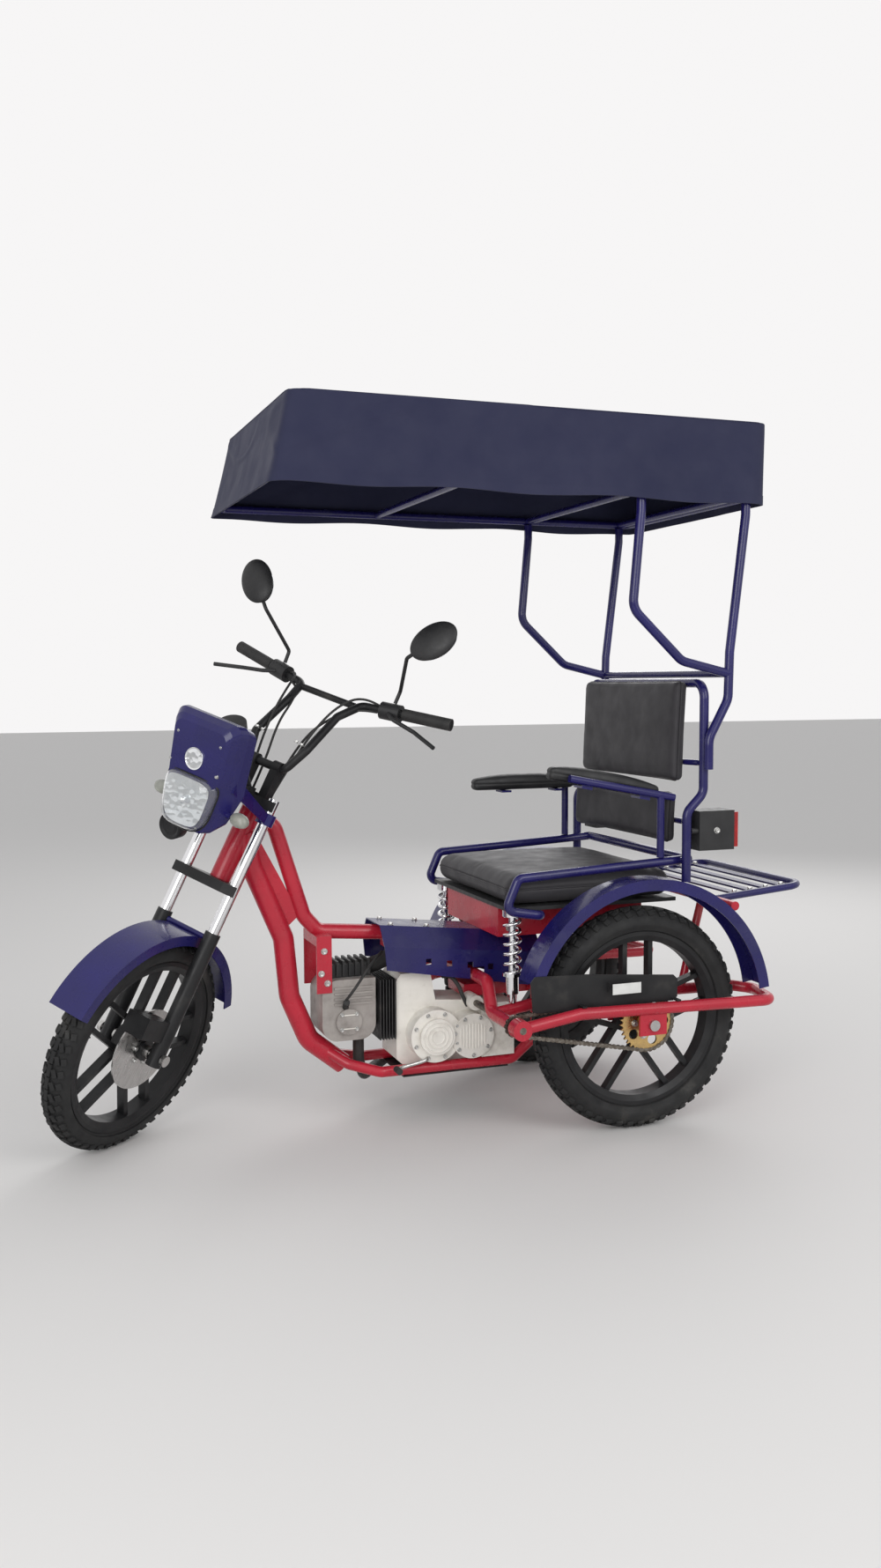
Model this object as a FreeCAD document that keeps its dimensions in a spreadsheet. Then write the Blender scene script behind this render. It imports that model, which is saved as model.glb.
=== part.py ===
import FreeCAD, Part
import math
import os
import Sketcher

# A motorised three-wheeler with one seat and a canopy, in millimetres.
# Frame: +X forward, +Y to the rider's left, +Z up, the floor at Z 0.
# Lengths below that say "ahead" are measured forward from the rear axle.
# It is stored with its steering against the left stop.

Vector = FreeCAD.Vector
Rotation = FreeCAD.Rotation
Placement = FreeCAD.Placement

os.makedirs("parts", exist_ok=True)
document = FreeCAD.newDocument("ThreeWheeler")

# Driving dimensions: name, value, what it is
SIZES = (
    ("rear_axle_x", -455, "rear axle in the part's own frame"),
    ("wheelbase", 1255, "rear axle to front axle, steering straight"),
    ("half_track", 318, "centre line to the middle of a rear wheel"),
    ("fit_gap", 0.3, "gap between pieces that seat on each other"),
    ("bore_gap", 0.08, "radial gap of a shaft in its bore"),
    ("front_tyre_r", 280, "front tyre, outer radius"),
    ("front_tyre_w", 70, "front tyre, width"),
    ("rear_tyre_r", 290, "rear tyre, outer radius"),
    ("rear_tyre_w", 80, "rear tyre, width"),
    ("rim_r", 222, "rim, outer radius"),
    ("rim_depth", 20, "rim, radial depth"),
    ("rim_w", 56, "rim, width"),
    ("crown_rise", 22, "tyre crown above its shoulders"),
    ("hub_r", 46, "wheel hub, radius"),
    ("hub_nose_r", 27, "wheel hub, radius of its two noses"),
    ("hub_nose", 12, "wheel hub, length of a nose"),
    ("front_hub_half", 44, "front hub, half length"),
    ("rear_hub_half", 40, "rear hub, half length"),
    ("spoke_w", 13, "spoke, width"),
    ("spoke_depth", 24, "spoke, depth along the axle"),
    ("spoke_offset", 37, "spoke, middle to the pair's centre line"),
    ("spoke_pairs", 5, "pairs of spokes in a wheel"),
    ("axle_r", 8, "wheel axle, radius"),
    ("axle_nut_r", 14, "axle nut, radius over flats"),
    ("axle_nut_h", 9, "axle nut, height"),
    ("rake", 26, "steering axis from upright, degrees"),
    ("fork_offset", 44, "fork legs ahead of the steering axis"),
    ("steer_lock", 43, "left steering stop, degrees"),
    ("fork_half", 80, "centre line to a fork leg"),
    ("stanchion_r", 15, "fork stanchion, radius"),
    ("fork_lower_r", 20, "fork lower, radius"),
    ("fork_lower_top", 330, "fork lower, top above the axle along the axis"),
    ("lower_yoke_w", 430, "lower yoke, underside above the axle"),
    ("upper_yoke_w", 660, "upper yoke, underside above the axle"),
    ("yoke_t", 26, "yoke, thickness"),
    ("stem_r", 14, "steering stem, radius"),
    ("headstock_r", 27, "headstock tube, outer radius"),
    ("bar_r", 11, "handlebar tube, radius"),
    ("bar_rise", 110, "handlebar clamp above the upper yoke's underside"),
    ("bar_half", 351, "handlebar, half width"),
    ("grip_r", 16, "grip, radius"),
    ("grip_len", 135, "grip, length"),
    ("frame_tube_r", 20, "main frame tube, radius"),
    ("down_tube_r", 27, "down tube, radius"),
    ("spine_z", 493, "main spine, height of its centre line at its front bend"),
    ("cradle_z", 142, "engine cradle, height of its centre line"),
    ("pivot_ahead", 366, "rear frame cross tube ahead of the rear axle"),
    ("pivot_z", 312, "rear frame cross tube, height"),
    ("rail_r", 15, "rear rail tube, radius"),
    ("rail_outer_y", 412, "outer rail from the centre line"),
    ("rail_inner_y", 242, "inner rail from the centre line"),
    ("rail_z", 332, "rails above the axle, height"),
    ("rail_tail", -352, "tail of the rails, from the rear axle"),
    ("cushion_front", 346, "seat cushion front ahead of the rear axle"),
    ("cushion_rear", -150, "seat cushion rear from the rear axle"),
    ("cushion_half", 276, "seat cushion, half width"),
    ("cushion_base_z", 588, "seat cushion, underside"),
    ("cushion_t", 82, "seat cushion, thickness"),
    ("seat_rail_z", 664, "seat side rails, height at their front bend"),
    ("seat_rail_lift", 26, "rise of the seat side rails to the rear"),
    ("seat_board_t", 10, "board under the seat cushion, thickness"),
    ("seat_rail_r", 12, "seat and backrest frame tube, radius"),
    ("backrest_x", -195, "backrest hoop from the rear axle"),
    ("backrest_foot_x", -146, "backrest legs from the rear axle"),
    ("recline", 2.5, "backrest pads from upright, degrees"),
    ("pad_half", 278, "backrest pads, half width"),
    ("backrest_half", 322, "backrest frame, half width"),
    ("backrest_top", 1166, "backrest frame, top"),
    ("pad_t", 42, "backrest pad, thickness"),
    ("pad_split_z", 880, "split between the two backrest pads"),
    ("pad_base_z", 728, "backrest pads, underside"),
    ("arm_z", 855, "armrest tubes, height at their rear ends"),
    ("arm_lift", 58, "rise of the left armrest to its front"),
    ("arm_leg_x", -88, "armrest legs from the rear axle"),
    ("post_r", 12, "canopy post tube, radius"),
    ("canopy_front", 960, "canopy front edge ahead of the rear axle"),
    ("canopy_rear", -346, "canopy rear edge from the rear axle"),
    ("canopy_half", 372, "canopy, half width at the hem"),
    ("canopy_base_z", 1612, "canopy hem, height"),
    ("canopy_top_z", 1824, "canopy top, height"),
    ("canopy_lean", 33, "canopy top set back from its hem"),
    ("canopy_wall", 5, "canopy cover, thickness"),
    ("canopy_tube_r", 11, "canopy frame tube, radius"),
    ("fender_r", 350, "rear mudguard, inner radius"),
    ("fender_t", 3, "mudguard sheet, thickness"),
    ("fender_inner_y", 306, "rear mudguard, inner edge"),
    ("fender_outer_y", 388, "rear mudguard, outer edge"),
    ("front_fender_r", 304, "front mudguard, inner radius"),
    ("front_fender_half", 52, "front mudguard, half width"),
    ("chain_y", 379, "chain line from the centre line"),
    ("sprocket_teeth", 36, "rear sprocket, teeth"),
    ("small_teeth", 11, "driving sprocket, teeth"),
    ("chain_pitch", 12.7, "chain pitch"),
    ("chain_links", 82, "links in the chain"),
    ("engine_half", 122, "engine, half width over its covers"),
    ("crank_ahead", 474, "crankshaft ahead of the rear axle"),
    ("crank_z", 230, "crankshaft, height"),
    ("rack_rear", -556, "luggage rack, rear tube from the rear axle"),
    ("rack_half", 257, "luggage rack, half width"),
    ("rack_z", 572, "luggage rack, height at its front end"),
    ("fin_count", 6, "cooling fins on the cylinder"),
)

sheet = document.addObject("Spreadsheet::Sheet", "Sizes")
for row, (alias, number, meaning) in enumerate(SIZES, start=1):
    sheet.set(f"A{row}", meaning)
    sheet.set(f"B{row}", str(number))
    sheet.setAlias(f"B{row}", alias)
document.recompute()


class Measure:
    """A number together with the sheet expression that gives it."""

    def __init__(self, number, text):
        self.number = float(number)
        self.text = text

    def __add__(self, other):
        other = measure(other)
        return Measure(self.number + other.number, f"({self.text} + {other.text})")

    def __sub__(self, other):
        other = measure(other)
        return Measure(self.number - other.number, f"({self.text} - {other.text})")

    def __mul__(self, other):
        other = measure(other)
        return Measure(self.number * other.number, f"({self.text} * {other.text})")

    def __truediv__(self, other):
        other = measure(other)
        return Measure(self.number / other.number, f"({self.text} / {other.text})")

    def __radd__(self, other):
        return measure(other) + self

    def __rsub__(self, other):
        return measure(other) - self

    def __rmul__(self, other):
        return measure(other) * self

    def __neg__(self):
        return Measure(-self.number, f"(0 - {self.text})")

    def __float__(self):
        return self.number


def measure(value):
    """Any value as a Measure."""
    if isinstance(value, Measure):
        return value
    return Measure(value, repr(float(value)))


def size(alias):
    """The named size from the sheet."""
    return Measure(sheet.get(f"{alias}"), f"Sizes.{alias}")


def vector(point):
    """A point of measures as a vector."""
    return Vector(*(float(value) for value in point))


def bind(obj, **properties):
    """Ties properties of an object to sheet expressions."""
    for name, value in properties.items():
        obj.setExpression(name, measure(value).text)


def place(obj, point, rotation=None):
    """Puts an object at a point of measures, each coordinate tied to the sheet."""
    obj.Placement = Placement(vector(point), rotation or Rotation())
    for axis, value in zip("xyz", point):
        if isinstance(value, Measure):
            obj.setExpression(f"Placement.Base.{axis}", value.text)
    return obj


def box(name, x_span, y_span, z_span):
    """A block between pairs of measures."""
    block = document.addObject("Part::Box", name)
    bind(
        block,
        Length=measure(x_span[1]) - x_span[0],
        Width=measure(y_span[1]) - y_span[0],
        Height=measure(z_span[1]) - z_span[0],
    )
    return place(block, (x_span[0], y_span[0], z_span[0]))


def turn_to(direction):
    """The rotation that points +Z along a direction."""
    return Rotation(Vector(0, 0, 1), direction)


def rod(name, radius, start, end):
    """A round bar between two points."""
    cylinder = document.addObject("Part::Cylinder", name)
    bind(cylinder, Radius=radius)
    run = vector(end) - vector(start)
    changed = [axis for axis in range(3) if abs(run[axis]) > 1e-9]
    if len(changed) == 1:
        axis = changed[0]
        low, high = measure(start[axis]), measure(end[axis])
        bind(cylinder, Height=(high - low) if run[axis] > 0 else (low - high))
    else:
        cylinder.Height = run.Length
    return place(cylinder, start, turn_to(run))


def bent_path(points, bend):
    """A wire of straight runs joined by tangent arcs of one bend radius."""
    points = [vector(point) for point in points]
    edges = []
    last = points[0]
    for before, corner, after in zip(points, points[1:], points[2:]):
        into = (corner - before).normalize()
        out = (after - corner).normalize()
        turn = into.getAngle(out)
        setback = float(bend) * math.tan(turn / 2)
        start = corner - into * setback
        end = corner + out * setback
        inward = (out - into).normalize()
        centre = corner + inward * (float(bend) / math.cos(turn / 2))
        middle = centre - inward * float(bend)
        edges.append(Part.LineSegment(last, start).toShape())
        edges.append(Part.Arc(start, middle, end).toShape())
        last = end
    edges.append(Part.LineSegment(last, points[-1]).toShape())
    return Part.Wire(edges)


def tube(name, radius, points, bend=60):
    """A bent round tube along straight runs and arcs."""
    path = document.addObject("Part::Feature", f"{name}_path")
    path.Shape = bent_path(points, bend)
    ring = document.addObject("Part::Circle", f"{name}_ring")
    bind(ring, Radius=radius)
    start = vector(points[0])
    ring.Placement = Placement(start, turn_to(vector(points[1]) - start))
    sweep = document.addObject("Part::Sweep", name)
    sweep.Sections = [ring]
    count = len(path.Shape.Edges)
    sweep.Spine = (path, [f"Edge{number}" for number in range(1, count + 1)])
    sweep.Solid = True
    sweep.Transition = "Right corner"
    return sweep


def fuse(name, pieces):
    """Several pieces welded into one."""
    if len(pieces) == 1:
        return pieces[0]
    joined = document.addObject("Part::MultiFuse", name)
    joined.Shapes = pieces
    joined.Refine = True
    return joined


def cut(name, base, tools):
    """A piece with tools taken out of it."""
    result = document.addObject("Part::Cut", name)
    result.Base = base
    result.Tool = fuse(f"{name}_tools", tools)
    result.Refine = True
    return result


def group(name, pieces):
    """Several solids that share a node and don't touch."""
    compound = document.addObject("Part::Compound", name)
    compound.Links = pieces
    return compound


def mirrored(name, source):
    """The same piece on the other side of the centre line."""
    copy = document.addObject("Part::Mirroring", name)
    copy.Source = source
    copy.Normal = Vector(0, 1, 0)
    return copy


def pair(name, source):
    """A left piece and its mirror image in one node."""
    return group(name, [source, mirrored(f"{name}_right", source)])


def new_body(name):
    """An empty body."""
    return document.addObject("PartDesign::Body", name)


def sketch_on(body, name, plane, outlines):
    """A sketch of closed outlines on one of the body's origin planes.

    Each point of an outline is (across, up) or (across, up, radius): a radius
    makes the edge to the next point an arc that bulges to the right of the run,
    or to its left if the radius is negative.
    """
    sketch = body.newObject("Sketcher::SketchObject", name)
    origin_plane = next(item for item in body.Origin.OriginFeatures if item.Role == plane)
    sketch.AttachmentSupport = [(origin_plane, "")]
    sketch.MapMode = "FlatFace"
    for outline in outlines:
        add_outline(sketch, outline)
    return sketch


def add_outline(sketch, outline):
    """One closed outline of lines and arcs, its points tied to the sheet."""
    first = sketch.GeometryCount
    count = len(outline)
    spots = [Vector(float(point[0]), float(point[1]), 0) for point in outline]
    for index, point in enumerate(outline):
        start = spots[index]
        end = spots[(index + 1) % count]
        if len(point) == 3:
            add_arc(sketch, start, end, measure(point[2]))
        else:
            sketch.addGeometry(Part.LineSegment(start, end))
    for index, point in enumerate(outline):
        here = first + index
        after = first + (index + 1) % count
        sketch.addConstraint(
            Sketcher.Constraint("Coincident", here, edge_end(outline[index]), after,
                                edge_start(outline[(index + 1) % count])))
        for kind, value in (("DistanceX", point[0]), ("DistanceY", point[1])):
            value = measure(value)
            number = sketch.addConstraint(
                Sketcher.Constraint(kind, -1, 1, here, edge_start(point), value.number))
            if "Sizes." in value.text:
                sketch.setExpression(f"Constraints[{number}]", value.text)
        if len(point) == 3:
            radius = measure(point[2])
            number = sketch.addConstraint(Sketcher.Constraint("Radius", here, abs(radius.number)))
            if "Sizes." in radius.text:
                sketch.setExpression(f"Constraints[{number}]", f"abs({radius.text})")


def edge_start(point):
    """Which vertex of an edge its outline point is: arcs run anticlockwise."""
    return 2 if len(point) == 3 and float(point[2]) < 0 else 1


def edge_end(point):
    """The other vertex of the edge."""
    return 1 if edge_start(point) == 2 else 2


def add_arc(sketch, start, end, radius):
    """A minor arc between two spots."""
    chord = end - start
    half = chord.Length / 2
    side = Vector(chord.y, -chord.x, 0).normalize()
    if radius.number < 0:
        side = side * -1
    reach = abs(radius.number)
    rise = reach - math.sqrt(reach * reach - half * half)
    middle = (start + end) * 0.5 + side * rise
    sketch.addGeometry(Part.Arc(start, middle, end))


def revolved(body, name, sketch, axis="V_Axis"):
    """A full turn of a sketch about one of its axes."""
    feature = body.newObject("PartDesign::Revolution", name)
    feature.Profile = sketch
    feature.ReferenceAxis = (sketch, [axis])
    feature.Angle = 360
    return feature


def padded(body, name, sketch, length, both_sides=True):
    """A sketch made thick by a length."""
    feature = body.newObject("PartDesign::Pad", name)
    feature.Profile = sketch
    bind(feature, Length=length)
    feature.Midplane = both_sides
    return feature


def plate(name, plane, outlines, thickness, both_sides=True):
    """A flat plate of one or more closed outlines in its own body."""
    body = new_body(name)
    padded(body, f"{name}_pad", sketch_on(body, f"{name}_outline", plane, outlines),
           thickness, both_sides)
    return body


nodes = []


def fixed(label, piece):
    """A node on the frame: its shape is drawn from the rear axle forward."""
    piece.Label = label
    base = piece.Placement.Base
    piece.Placement = Placement(Vector(float(rear_axle_x), base.y, base.z),
                                piece.Placement.Rotation)
    piece.setExpression("Placement.Base.x", rear_axle_x.text)
    nodes.append(piece)


def steered(label, piece):
    """A node on the steering: drawn upright about the steering axis, then leant back,
    turned to the left stop and slid along the axis until the tyre meets the floor."""
    piece.Label = label
    for axis in "xyz":
        piece.setExpression(f"Placement.Base.{axis}", None)
    piece.Placement = steering_placement * piece.Placement
    nodes.append(piece)


rear_axle_x = size("rear_axle_x")
wheelbase = size("wheelbase")
half_track = size("half_track")
fit_gap = size("fit_gap")
bore_gap = size("bore_gap")

# Steering geometry: the wheel centre lies ahead of a raked axis
rake = math.radians(float(size("rake")))
lock = float(size("steer_lock"))
fork_offset = size("fork_offset")
front_tyre_r = size("front_tyre_r")
front_tyre_w = size("front_tyre_w")
axis_up = Vector(-math.sin(rake), 0, math.cos(rake))
axis_ahead = Vector(math.cos(rake), 0, math.sin(rake))
straight_centre = Vector(float(rear_axle_x + wheelbase), 0, float(front_tyre_r))
axis_foot = straight_centre - axis_ahead * float(fork_offset)
lean = Rotation(Vector(0, 1, 0), -math.degrees(rake))
turned = lean * Rotation(Vector(0, 0, 1), lock)

# The turned wheel leans, so its lowest point isn't straight below its centre
crown_rise = size("crown_rise")
shoulder_inset = Measure(3, "3.0")


def crown_radius(tyre_w):
    """The arc across the tread that rises crown_rise between the shoulders."""
    half_chord = tyre_w / 2 - shoulder_inset
    return (half_chord * half_chord + crown_rise * crown_rise) / (crown_rise * 2)


turned_axle = turned.multVec(Vector(0, 1, 0))
turned_centre = axis_foot + turned.multVec(Vector(float(fork_offset), 0, 0))
front_crown = float(crown_radius(front_tyre_w))
lowest = (turned_centre.z - front_crown
          - (float(front_tyre_r) - front_crown) * math.sqrt(1 - turned_axle.z ** 2))
axis_foot = axis_foot - axis_up * (lowest / axis_up.z)
steering_placement = Placement(axis_foot, turned)

# Wheels
rim_r = size("rim_r")
rim_depth = size("rim_depth")
rim_w = size("rim_w")
hub_r = size("hub_r")
hub_nose_r = size("hub_nose_r")
hub_nose = size("hub_nose")
axle_r = size("axle_r")
spoke_w = size("spoke_w")
spoke_depth = size("spoke_depth")
spoke_offset = size("spoke_offset")


def tyre(name, outer_r, tyre_w):
    """A tyre about the Y axis: bead, bulging sidewalls and a round crown."""
    body = new_body(name)
    shoulder_r = outer_r - crown_rise
    shoulder_y = tyre_w / 2 - shoulder_inset
    bead_y = rim_w / 2 - 3
    bead_r = rim_r - 5
    bead_top = rim_r + 6
    sidewall_arc = 42
    outline = (
        (bead_r, -bead_y),
        (bead_top, -bead_y, sidewall_arc),
        (shoulder_r, -shoulder_y, crown_radius(tyre_w)),
        (shoulder_r, shoulder_y, sidewall_arc),
        (bead_top, bead_y),
        (bead_r, bead_y),
    )
    revolved(body, f"{name}_turn", sketch_on(body, f"{name}_section", "XY_Plane", [outline]))
    return body


def cast_wheel(name, hub_half):
    """A cast wheel about the Y axis: channel rim, hub with a bore, paired spokes."""
    body = new_body(name)
    half = rim_w / 2
    floor_r = rim_r - 5 - fit_gap
    rim = (
        (rim_r - rim_depth, -half + 8),
        (floor_r, -half),
        (rim_r + 5, -half),
        (rim_r + 5, -half + 3 - fit_gap),
        (floor_r, -half + 3 - fit_gap),
        (floor_r, half - 3 + fit_gap),
        (rim_r + 5, half - 3 + fit_gap),
        (rim_r + 5, half),
        (floor_r, half),
        (rim_r - rim_depth, half - 8),
    )
    bore_r = axle_r + bore_gap
    hub = (
        (bore_r, -hub_half),
        (hub_nose_r, -hub_half),
        (hub_nose_r, -hub_half + hub_nose),
        (hub_r, -hub_half + hub_nose),
        (hub_r, hub_half - hub_nose),
        (hub_nose_r, hub_half - hub_nose),
        (hub_nose_r, hub_half),
        (bore_r, hub_half),
    )
    revolved(body, f"{name}_rim", sketch_on(body, f"{name}_rim_section", "XY_Plane", [rim]))
    revolved(body, f"{name}_hub", sketch_on(body, f"{name}_hub_section", "XY_Plane", [hub]))
    bars = []
    spoke_root = 12
    for side in (-1, 1):
        middle = spoke_offset * side
        bars.append((
            (middle - spoke_w / 2, spoke_root),
            (middle + spoke_w / 2, spoke_root),
            (middle + spoke_w / 2, rim_r - rim_depth + 2),
            (middle - spoke_w / 2, rim_r - rim_depth + 2),
        ))
    spokes = padded(body, f"{name}_spokes",
                    sketch_on(body, f"{name}_spoke_outline", "XZ_Plane", bars), spoke_depth)
    document.recompute()
    pattern = body.newObject("PartDesign::PolarPattern", f"{name}_pattern")
    pattern.Originals = [spokes]
    y_axis = next(item for item in body.Origin.OriginFeatures if item.Role == "Y_Axis")
    pattern.Axis = (y_axis, [""])
    pattern.Angle = 360
    pattern.Occurrences = int(float(size("spoke_pairs")))
    pattern.setExpression("Occurrences", "Sizes.spoke_pairs")
    body.Tip = pattern
    return body


front_hub_half = size("front_hub_half")
rear_hub_half = size("rear_hub_half")
rear_tyre_r = size("rear_tyre_r")
rear_tyre_w = size("rear_tyre_w")

steered("front_tyre", place(tyre("FrontTyre", front_tyre_r, front_tyre_w), (fork_offset, 0, 0)))
steered("front_wheel", place(cast_wheel("FrontWheel", front_hub_half), (fork_offset, 0, 0)))


def rear_wheel(side_name, side):
    """The tyre and cast wheel of one rear corner."""
    spot = (rear_axle_x, half_track * side, rear_tyre_r)
    rubber = place(tyre(f"{side_name}Tyre", rear_tyre_r, rear_tyre_w), spot)
    rubber.Label = f"{side_name.lower()}_rear_tyre"
    nodes.append(rubber)
    casting = place(cast_wheel(f"{side_name}Wheel", rear_hub_half), spot)
    casting.Label = f"{side_name.lower()}_rear_wheel"
    nodes.append(casting)


rear_wheel("Left", 1)
rear_wheel("Right", -1)

# Front brake disc, bolted to the left face of the front hub
disc_r = Measure(105, "105.0")
disc = new_body("BrakeDisc")
disc_low = front_hub_half - hub_nose + fit_gap
disc_high = disc_low + 4
disc_sketch = sketch_on(disc, "BrakeDisc_section", "XY_Plane", [(
    (hub_nose_r + fit_gap, disc_low),
    (disc_r, disc_low),
    (disc_r, disc_high),
    (hub_nose_r + fit_gap, disc_high),
)])
revolved(disc, "BrakeDisc_turn", disc_sketch)
steered("front_brake_disc", place(disc, (fork_offset, 0, 0)))

# Rear sprocket: teeth of the chain's pitch round a disc with round windows
chain_y = size("chain_y")
chain_pitch = size("chain_pitch")
teeth = int(float(size("sprocket_teeth")))
pitch_r = float(chain_pitch) / (2 * math.sin(math.pi / teeth))
roller_r = 3.6
root_depth = 4.1
tip_height = 3.2
sprocket_t = 6.0
pivot_ahead = size("pivot_ahead")
pivot_z = size("pivot_z")
chain_slope = math.atan2(float(pivot_z - rear_tyre_r), float(pivot_ahead))


def sprocket_shape(tooth_count, radius, first_gap, holes):
    """A flat sprocket about the Y axis on its own middle plane, one tooth gap at an angle."""
    points = []
    step = 2 * math.pi / tooth_count
    for tooth in range(tooth_count):
        for share, reach in ((-0.2, radius - root_depth), (0.2, radius - root_depth),
                             (0.44, radius + tip_height), (0.56, radius + tip_height)):
            angle = first_gap + step * (tooth + share)
            points.append(Vector(reach * math.cos(angle), -sprocket_t / 2,
                                 reach * math.sin(angle)))
    points.append(points[0])
    wheel = Part.Face(Part.makePolygon(points)).extrude(Vector(0, sprocket_t, 0))
    drills = []
    for ring, hole_r, count in holes:
        for number in range(count):
            angle = 2 * math.pi * (number + 0.5) / count
            spot = Vector(ring * math.cos(angle), -sprocket_t, ring * math.sin(angle))
            drills.append(Part.makeCylinder(hole_r, sprocket_t * 2, spot, Vector(0, 1, 0)))
    return wheel.cut(Part.makeCompound(drills))


sprocket = document.addObject("Part::Feature", "Sprocket")
sprocket.Shape = sprocket_shape(teeth, pitch_r, chain_slope + math.pi,
                                ((0, float(hub_nose_r) - 8, 1), (pitch_r * 0.66, 13, 5)))
place(sprocket, (rear_axle_x, chain_y, rear_tyre_r))
carrier = new_body("SprocketCarrier")
carrier_start = half_track + rear_hub_half
carrier_sketch = sketch_on(carrier, "SprocketCarrier_section", "XY_Plane", [(
    (axle_r + bore_gap, carrier_start),
    (hub_nose_r, carrier_start),
    (hub_nose_r, chain_y + 4),
    (axle_r + bore_gap, chain_y + 4),
)])
revolved(carrier, "SprocketCarrier_turn", carrier_sketch)
place(carrier, (rear_axle_x, 0, rear_tyre_r))
rear_sprocket = fuse("RearSprocket", [sprocket, carrier])
rear_sprocket.Label = "rear_sprocket"
nodes.append(rear_sprocket)

# Main frame: headstock, spine, down tube, engine cradle, gusset and engine hangers
frame_tube_r = size("frame_tube_r")
down_tube_r = size("down_tube_r")
headstock_r = size("headstock_r")
stem_r = size("stem_r")
spine_z = size("spine_z")
cradle_z = size("cradle_z")
lower_yoke_w = size("lower_yoke_w")
upper_yoke_w = size("upper_yoke_w")
yoke_t = size("yoke_t")
foot_ahead = axis_foot - Vector(float(rear_axle_x), 0, 0)


def on_axis(height, ahead=0.0):
    """A point on the steering axis, in lengths from the rear axle."""
    spot = foot_ahead + axis_up * float(height) + axis_ahead * float(ahead)
    return (spot.x, spot.y, spot.z)


# The cover on the spine falls to the rear with it
cover_slope = 0.103
cover_front = 614
cover_rear = 168
cover_t = 3
cover_front_z = spine_z + 34


def cover_top(ahead):
    """Height of the spine cover's top face."""
    return cover_front_z - (cover_front - ahead) * cover_slope


headstock_low = lower_yoke_w + yoke_t + fit_gap
headstock_high = upper_yoke_w - fit_gap
headstock = rod("Headstock", headstock_r, on_axis(headstock_low), on_axis(headstock_high))
headstock_bore = rod("HeadstockBore", stem_r + bore_gap, on_axis(headstock_low - 5),
                     on_axis(headstock_high + 5))
spine = tube("Spine", frame_tube_r, (
    on_axis(upper_yoke_w - 50, -8),
    (884, 0, spine_z + 325),
    (802, 0, spine_z + 62),
    (765, 0, spine_z + 19),
    (540, 0, spine_z),
    (150, 0, spine_z - 40),
), 40)
down_tube = tube("DownTube", down_tube_r, (
    on_axis(upper_yoke_w - 75, -8),
    (936, 0, 690),
    (856, 0, 500),
    (842, 0, 345),
    (792, 0, 226),
    (700, 0, cradle_z + 10),
), 60)
rail_side = 82
cradle_rail = tube("CradleRail", 14, (
    (750, 8, 196),
    (700, 52, cradle_z + 22),
    (620, rail_side, cradle_z),
    (250, rail_side + 6, cradle_z),
    (178, rail_side + 2, cradle_z + 55),
    (172, 72, spine_z - 56),
), 32)
cradle_rail_right = mirrored("CradleRailRight", cradle_rail)
cradle_cross = rod("CradleCross", 12, (172, -72, spine_z - 56), (172, 72, spine_z - 56))
gusset = plate("Gusset", "XZ_Plane", [(
    (935, 700),
    (925, 775),
    (812, 560),
    (856, 520),
)], 12)
hanger_gap = 62
hangers = [box("HangerBlock", (745, 785), (-hanger_gap - 6, hanger_gap + 6),
               (spine_z - 10, spine_z + 16))]
for side in (-1, 1):
    edges = sorted((hanger_gap * side, (hanger_gap + 6) * side))
    hangers.append(box(f"Hanger{'L' if side > 0 else 'R'}", (745, 785), edges,
                       (360, spine_z + 16)))
engine_beam = box("EngineBeam", (186, 377), (-60, 60), (317, 349))
beam_cross = rod("BeamCross", 14, (180, -rail_side, 333), (180, rail_side, 333))
cover_brackets = []
for number, bracket_x in enumerate((190, 572)):
    cover_brackets.append(box(f"CoverBracket{number + 1}", (bracket_x, bracket_x + 5), (-50, 50),
                              (spine_z - 40, cover_top(bracket_x) - cover_t - 0.02 - fit_gap)))
frame_body = fuse("FrameWelded", [headstock, spine, down_tube, cradle_rail, cradle_rail_right,
                                  cradle_cross, gusset, engine_beam, beam_cross]
                  + hangers + cover_brackets)
fixed("main_frame", cut("MainFrame", frame_body, [headstock_bore]))

# Rear frame: a cross tube and, round each wheel, an outer and an inner rail
rail_r = size("rail_r")
rail_outer_y = size("rail_outer_y")
rail_inner_y = size("rail_inner_y")
rail_z = size("rail_z")
rail_tail = size("rail_tail")
housing_y = chain_y - 9
arch_x = pivot_ahead - 12
arch_z = pivot_z + 68
cross_tube = tube("CrossTube", 17, (
    (pivot_ahead, -housing_y, pivot_z),
    (pivot_ahead, -rail_inner_y + 12, pivot_z),
    (arch_x, -170, arch_z),
    (arch_x, 170, arch_z),
    (pivot_ahead, rail_inner_y - 12, pivot_z),
    (pivot_ahead, housing_y, pivot_z),
), 36)
rail = tube("Rail", rail_r, (
    (pivot_ahead, rail_outer_y, pivot_z),
    (205, rail_outer_y, rail_z + 4),
    (rail_tail, rail_outer_y, rail_z - 8),
    (rail_tail - 30, rail_inner_y + 40, rail_z - 8),
    (rail_tail + 20, rail_inner_y, rail_z - 4),
    (205, rail_inner_y, rail_z + 4),
    (pivot_ahead, rail_inner_y, pivot_z),
), 35)
rail_boss = rod("RailBoss", 25, (pivot_ahead, rail_outer_y - 20, pivot_z),
                (pivot_ahead, rail_outer_y + 16, pivot_z))
rack_z = size("rack_z")
rack_front = -262
rear_strut = rod("RearStrut", 11, (-180, rail_inner_y, rail_z),
                 (rack_front, rail_inner_y - 30, rack_z))


def axle_plate(name, at_y):
    """A dropout plate under a rail, with a hole for the axle."""
    blank = box(f"{name}_blank", (-38, 38), (at_y - 4, at_y + 4), (rear_tyre_r - 26, rail_z))
    hole = rod(f"{name}_hole", axle_r, (0, at_y - 10, rear_tyre_r), (0, at_y + 10, rear_tyre_r))
    return cut(name, blank, [hole])


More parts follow.
